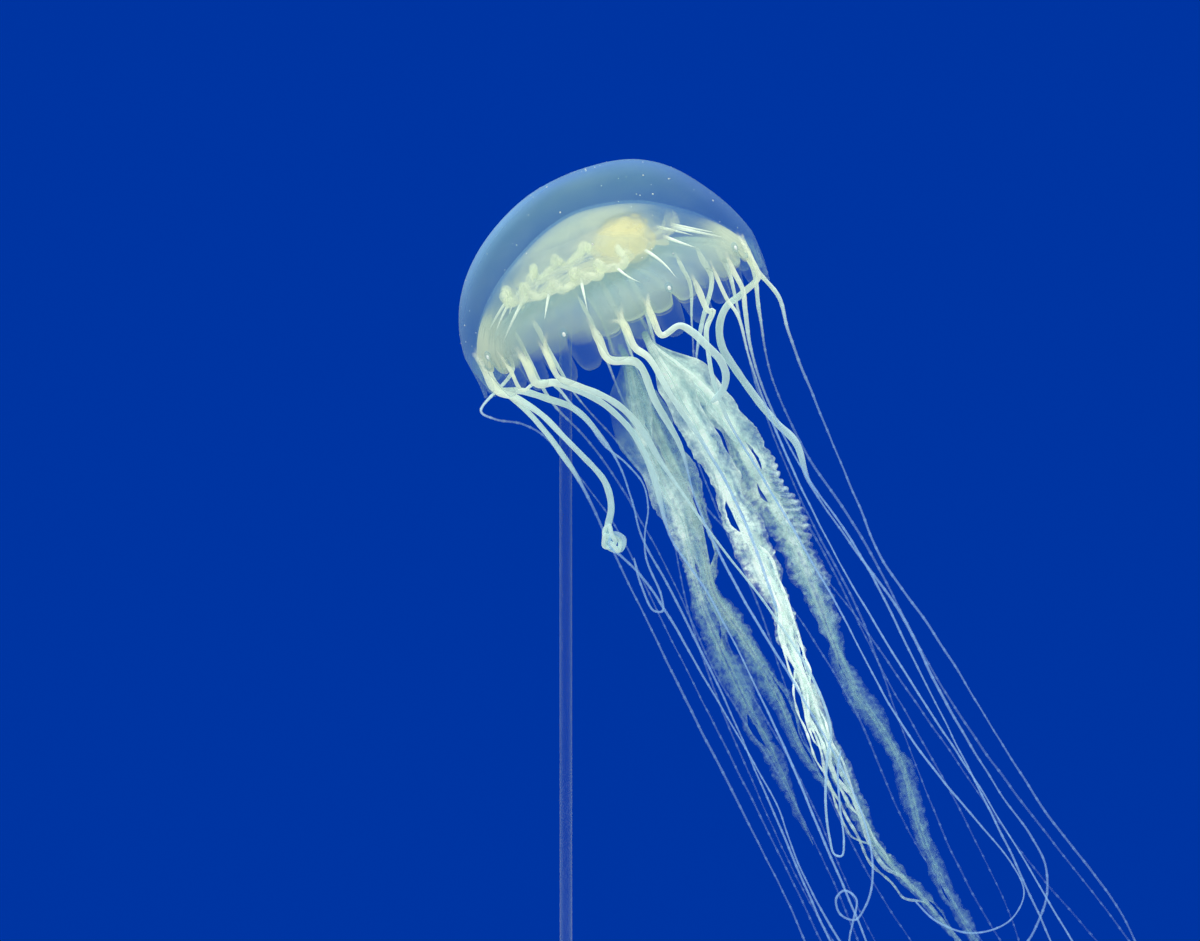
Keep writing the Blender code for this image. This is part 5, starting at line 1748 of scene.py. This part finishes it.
thread_finish, tree = new_finish("tentacle_flesh", 0.6, 0.15)
cloud, grain = grain_in(tree, 420.0)
_, off_root, milk, bead = place_in(tree, "on_thread")
edge = facing_in(tree, 0.35)
thread_tones = ((0.01, ROOT_CREAM), (0.09, THREAD_WHITE), (0.40, THREAD_PALE), (0.90, THREAD_BLUE))
tone = ramp_in(tree, off_root, thread_tones)
tone = blend_in(tree, 1.0, tone, two_tone(tree, cloud, (1.0, 1.0, 1.0), 0.88), "MULTIPLY")
slim = spread_in(tree, milk, 0.85, 0.50)
bare = sum_in(tree, "MULTIPLY", slim, spread_in(tree, off_root, 0.08, 0.22))
# A thick tentacle is densest at its edges, as a clear tube, and a slim one in its middle.
tube = spread_in(tree, edge, 0.15, 0.85, 0.66, 1.0)
core = spread_in(tree, edge, 0.0, 0.55, 1.05, 0.05)
film = node(tree, "ShaderNodeMix", slim, data_type="FLOAT", A=tube, B=core).outputs[0]
film = sum_in(tree, "MULTIPLY", film, milk)
# Part of its colour is painted glow, cream at the root and dim further on, which lifts its shade.
feed(
    tree,
    Base_Color=blend_in(tree, bare, tone, THREAD_THIN),
    Emission_Color=ramp_in(tree, off_root, ((0.02, ROOT_CREAM), (0.16, THREAD_PAINTED_GLOW_TONE))),
    Emission_Strength=THREAD_PAINTED_GLOW,
    Alpha=sum_in(tree, "ADD", film, sum_in(tree, "MULTIPLY", bead, 0.12)),
)
bump_in(tree, grain, 0.12, 0.08 * MM)

for group_name, (first_slot, end_slot) in GROUPS.items():
    threads_bm = bmesh.new()
    on_thread = threads_bm.verts.layers.float_vector.new("on_thread")
    replaced = []
    for tentacle in TENTACLES:
        if first_slot <= tentacle.slot < end_slot:
            add_tentacle(threads_bm, tentacle, on_thread)
            solid = "tentacle_{:02d}".format(tentacle.slot)
            whole = tentacle.slot in ONE_LENGTH
            replaced += [solid] if whole else [solid + "_upper", solid + "_lower"]
    if group_name == "left":
        add_strand(
            threads_bm,
            tangle_line(),
            THREAD_SIDES,
            lambda i, turn: oval(TANGLE_RADIUS, TANGLE_RADIUS, turn),
            ((on_thread, lambda i: Vector((0.12, 1.0, 0.0))),),
        )
    threads = mesh_of(threads_bm, "trailing_" + group_name)
    threads.data.materials.append(thread_finish)
    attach(threads, "root")
    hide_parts(*replaced)

[[list(corner) for corner in box] for box in (cad_box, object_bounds())]
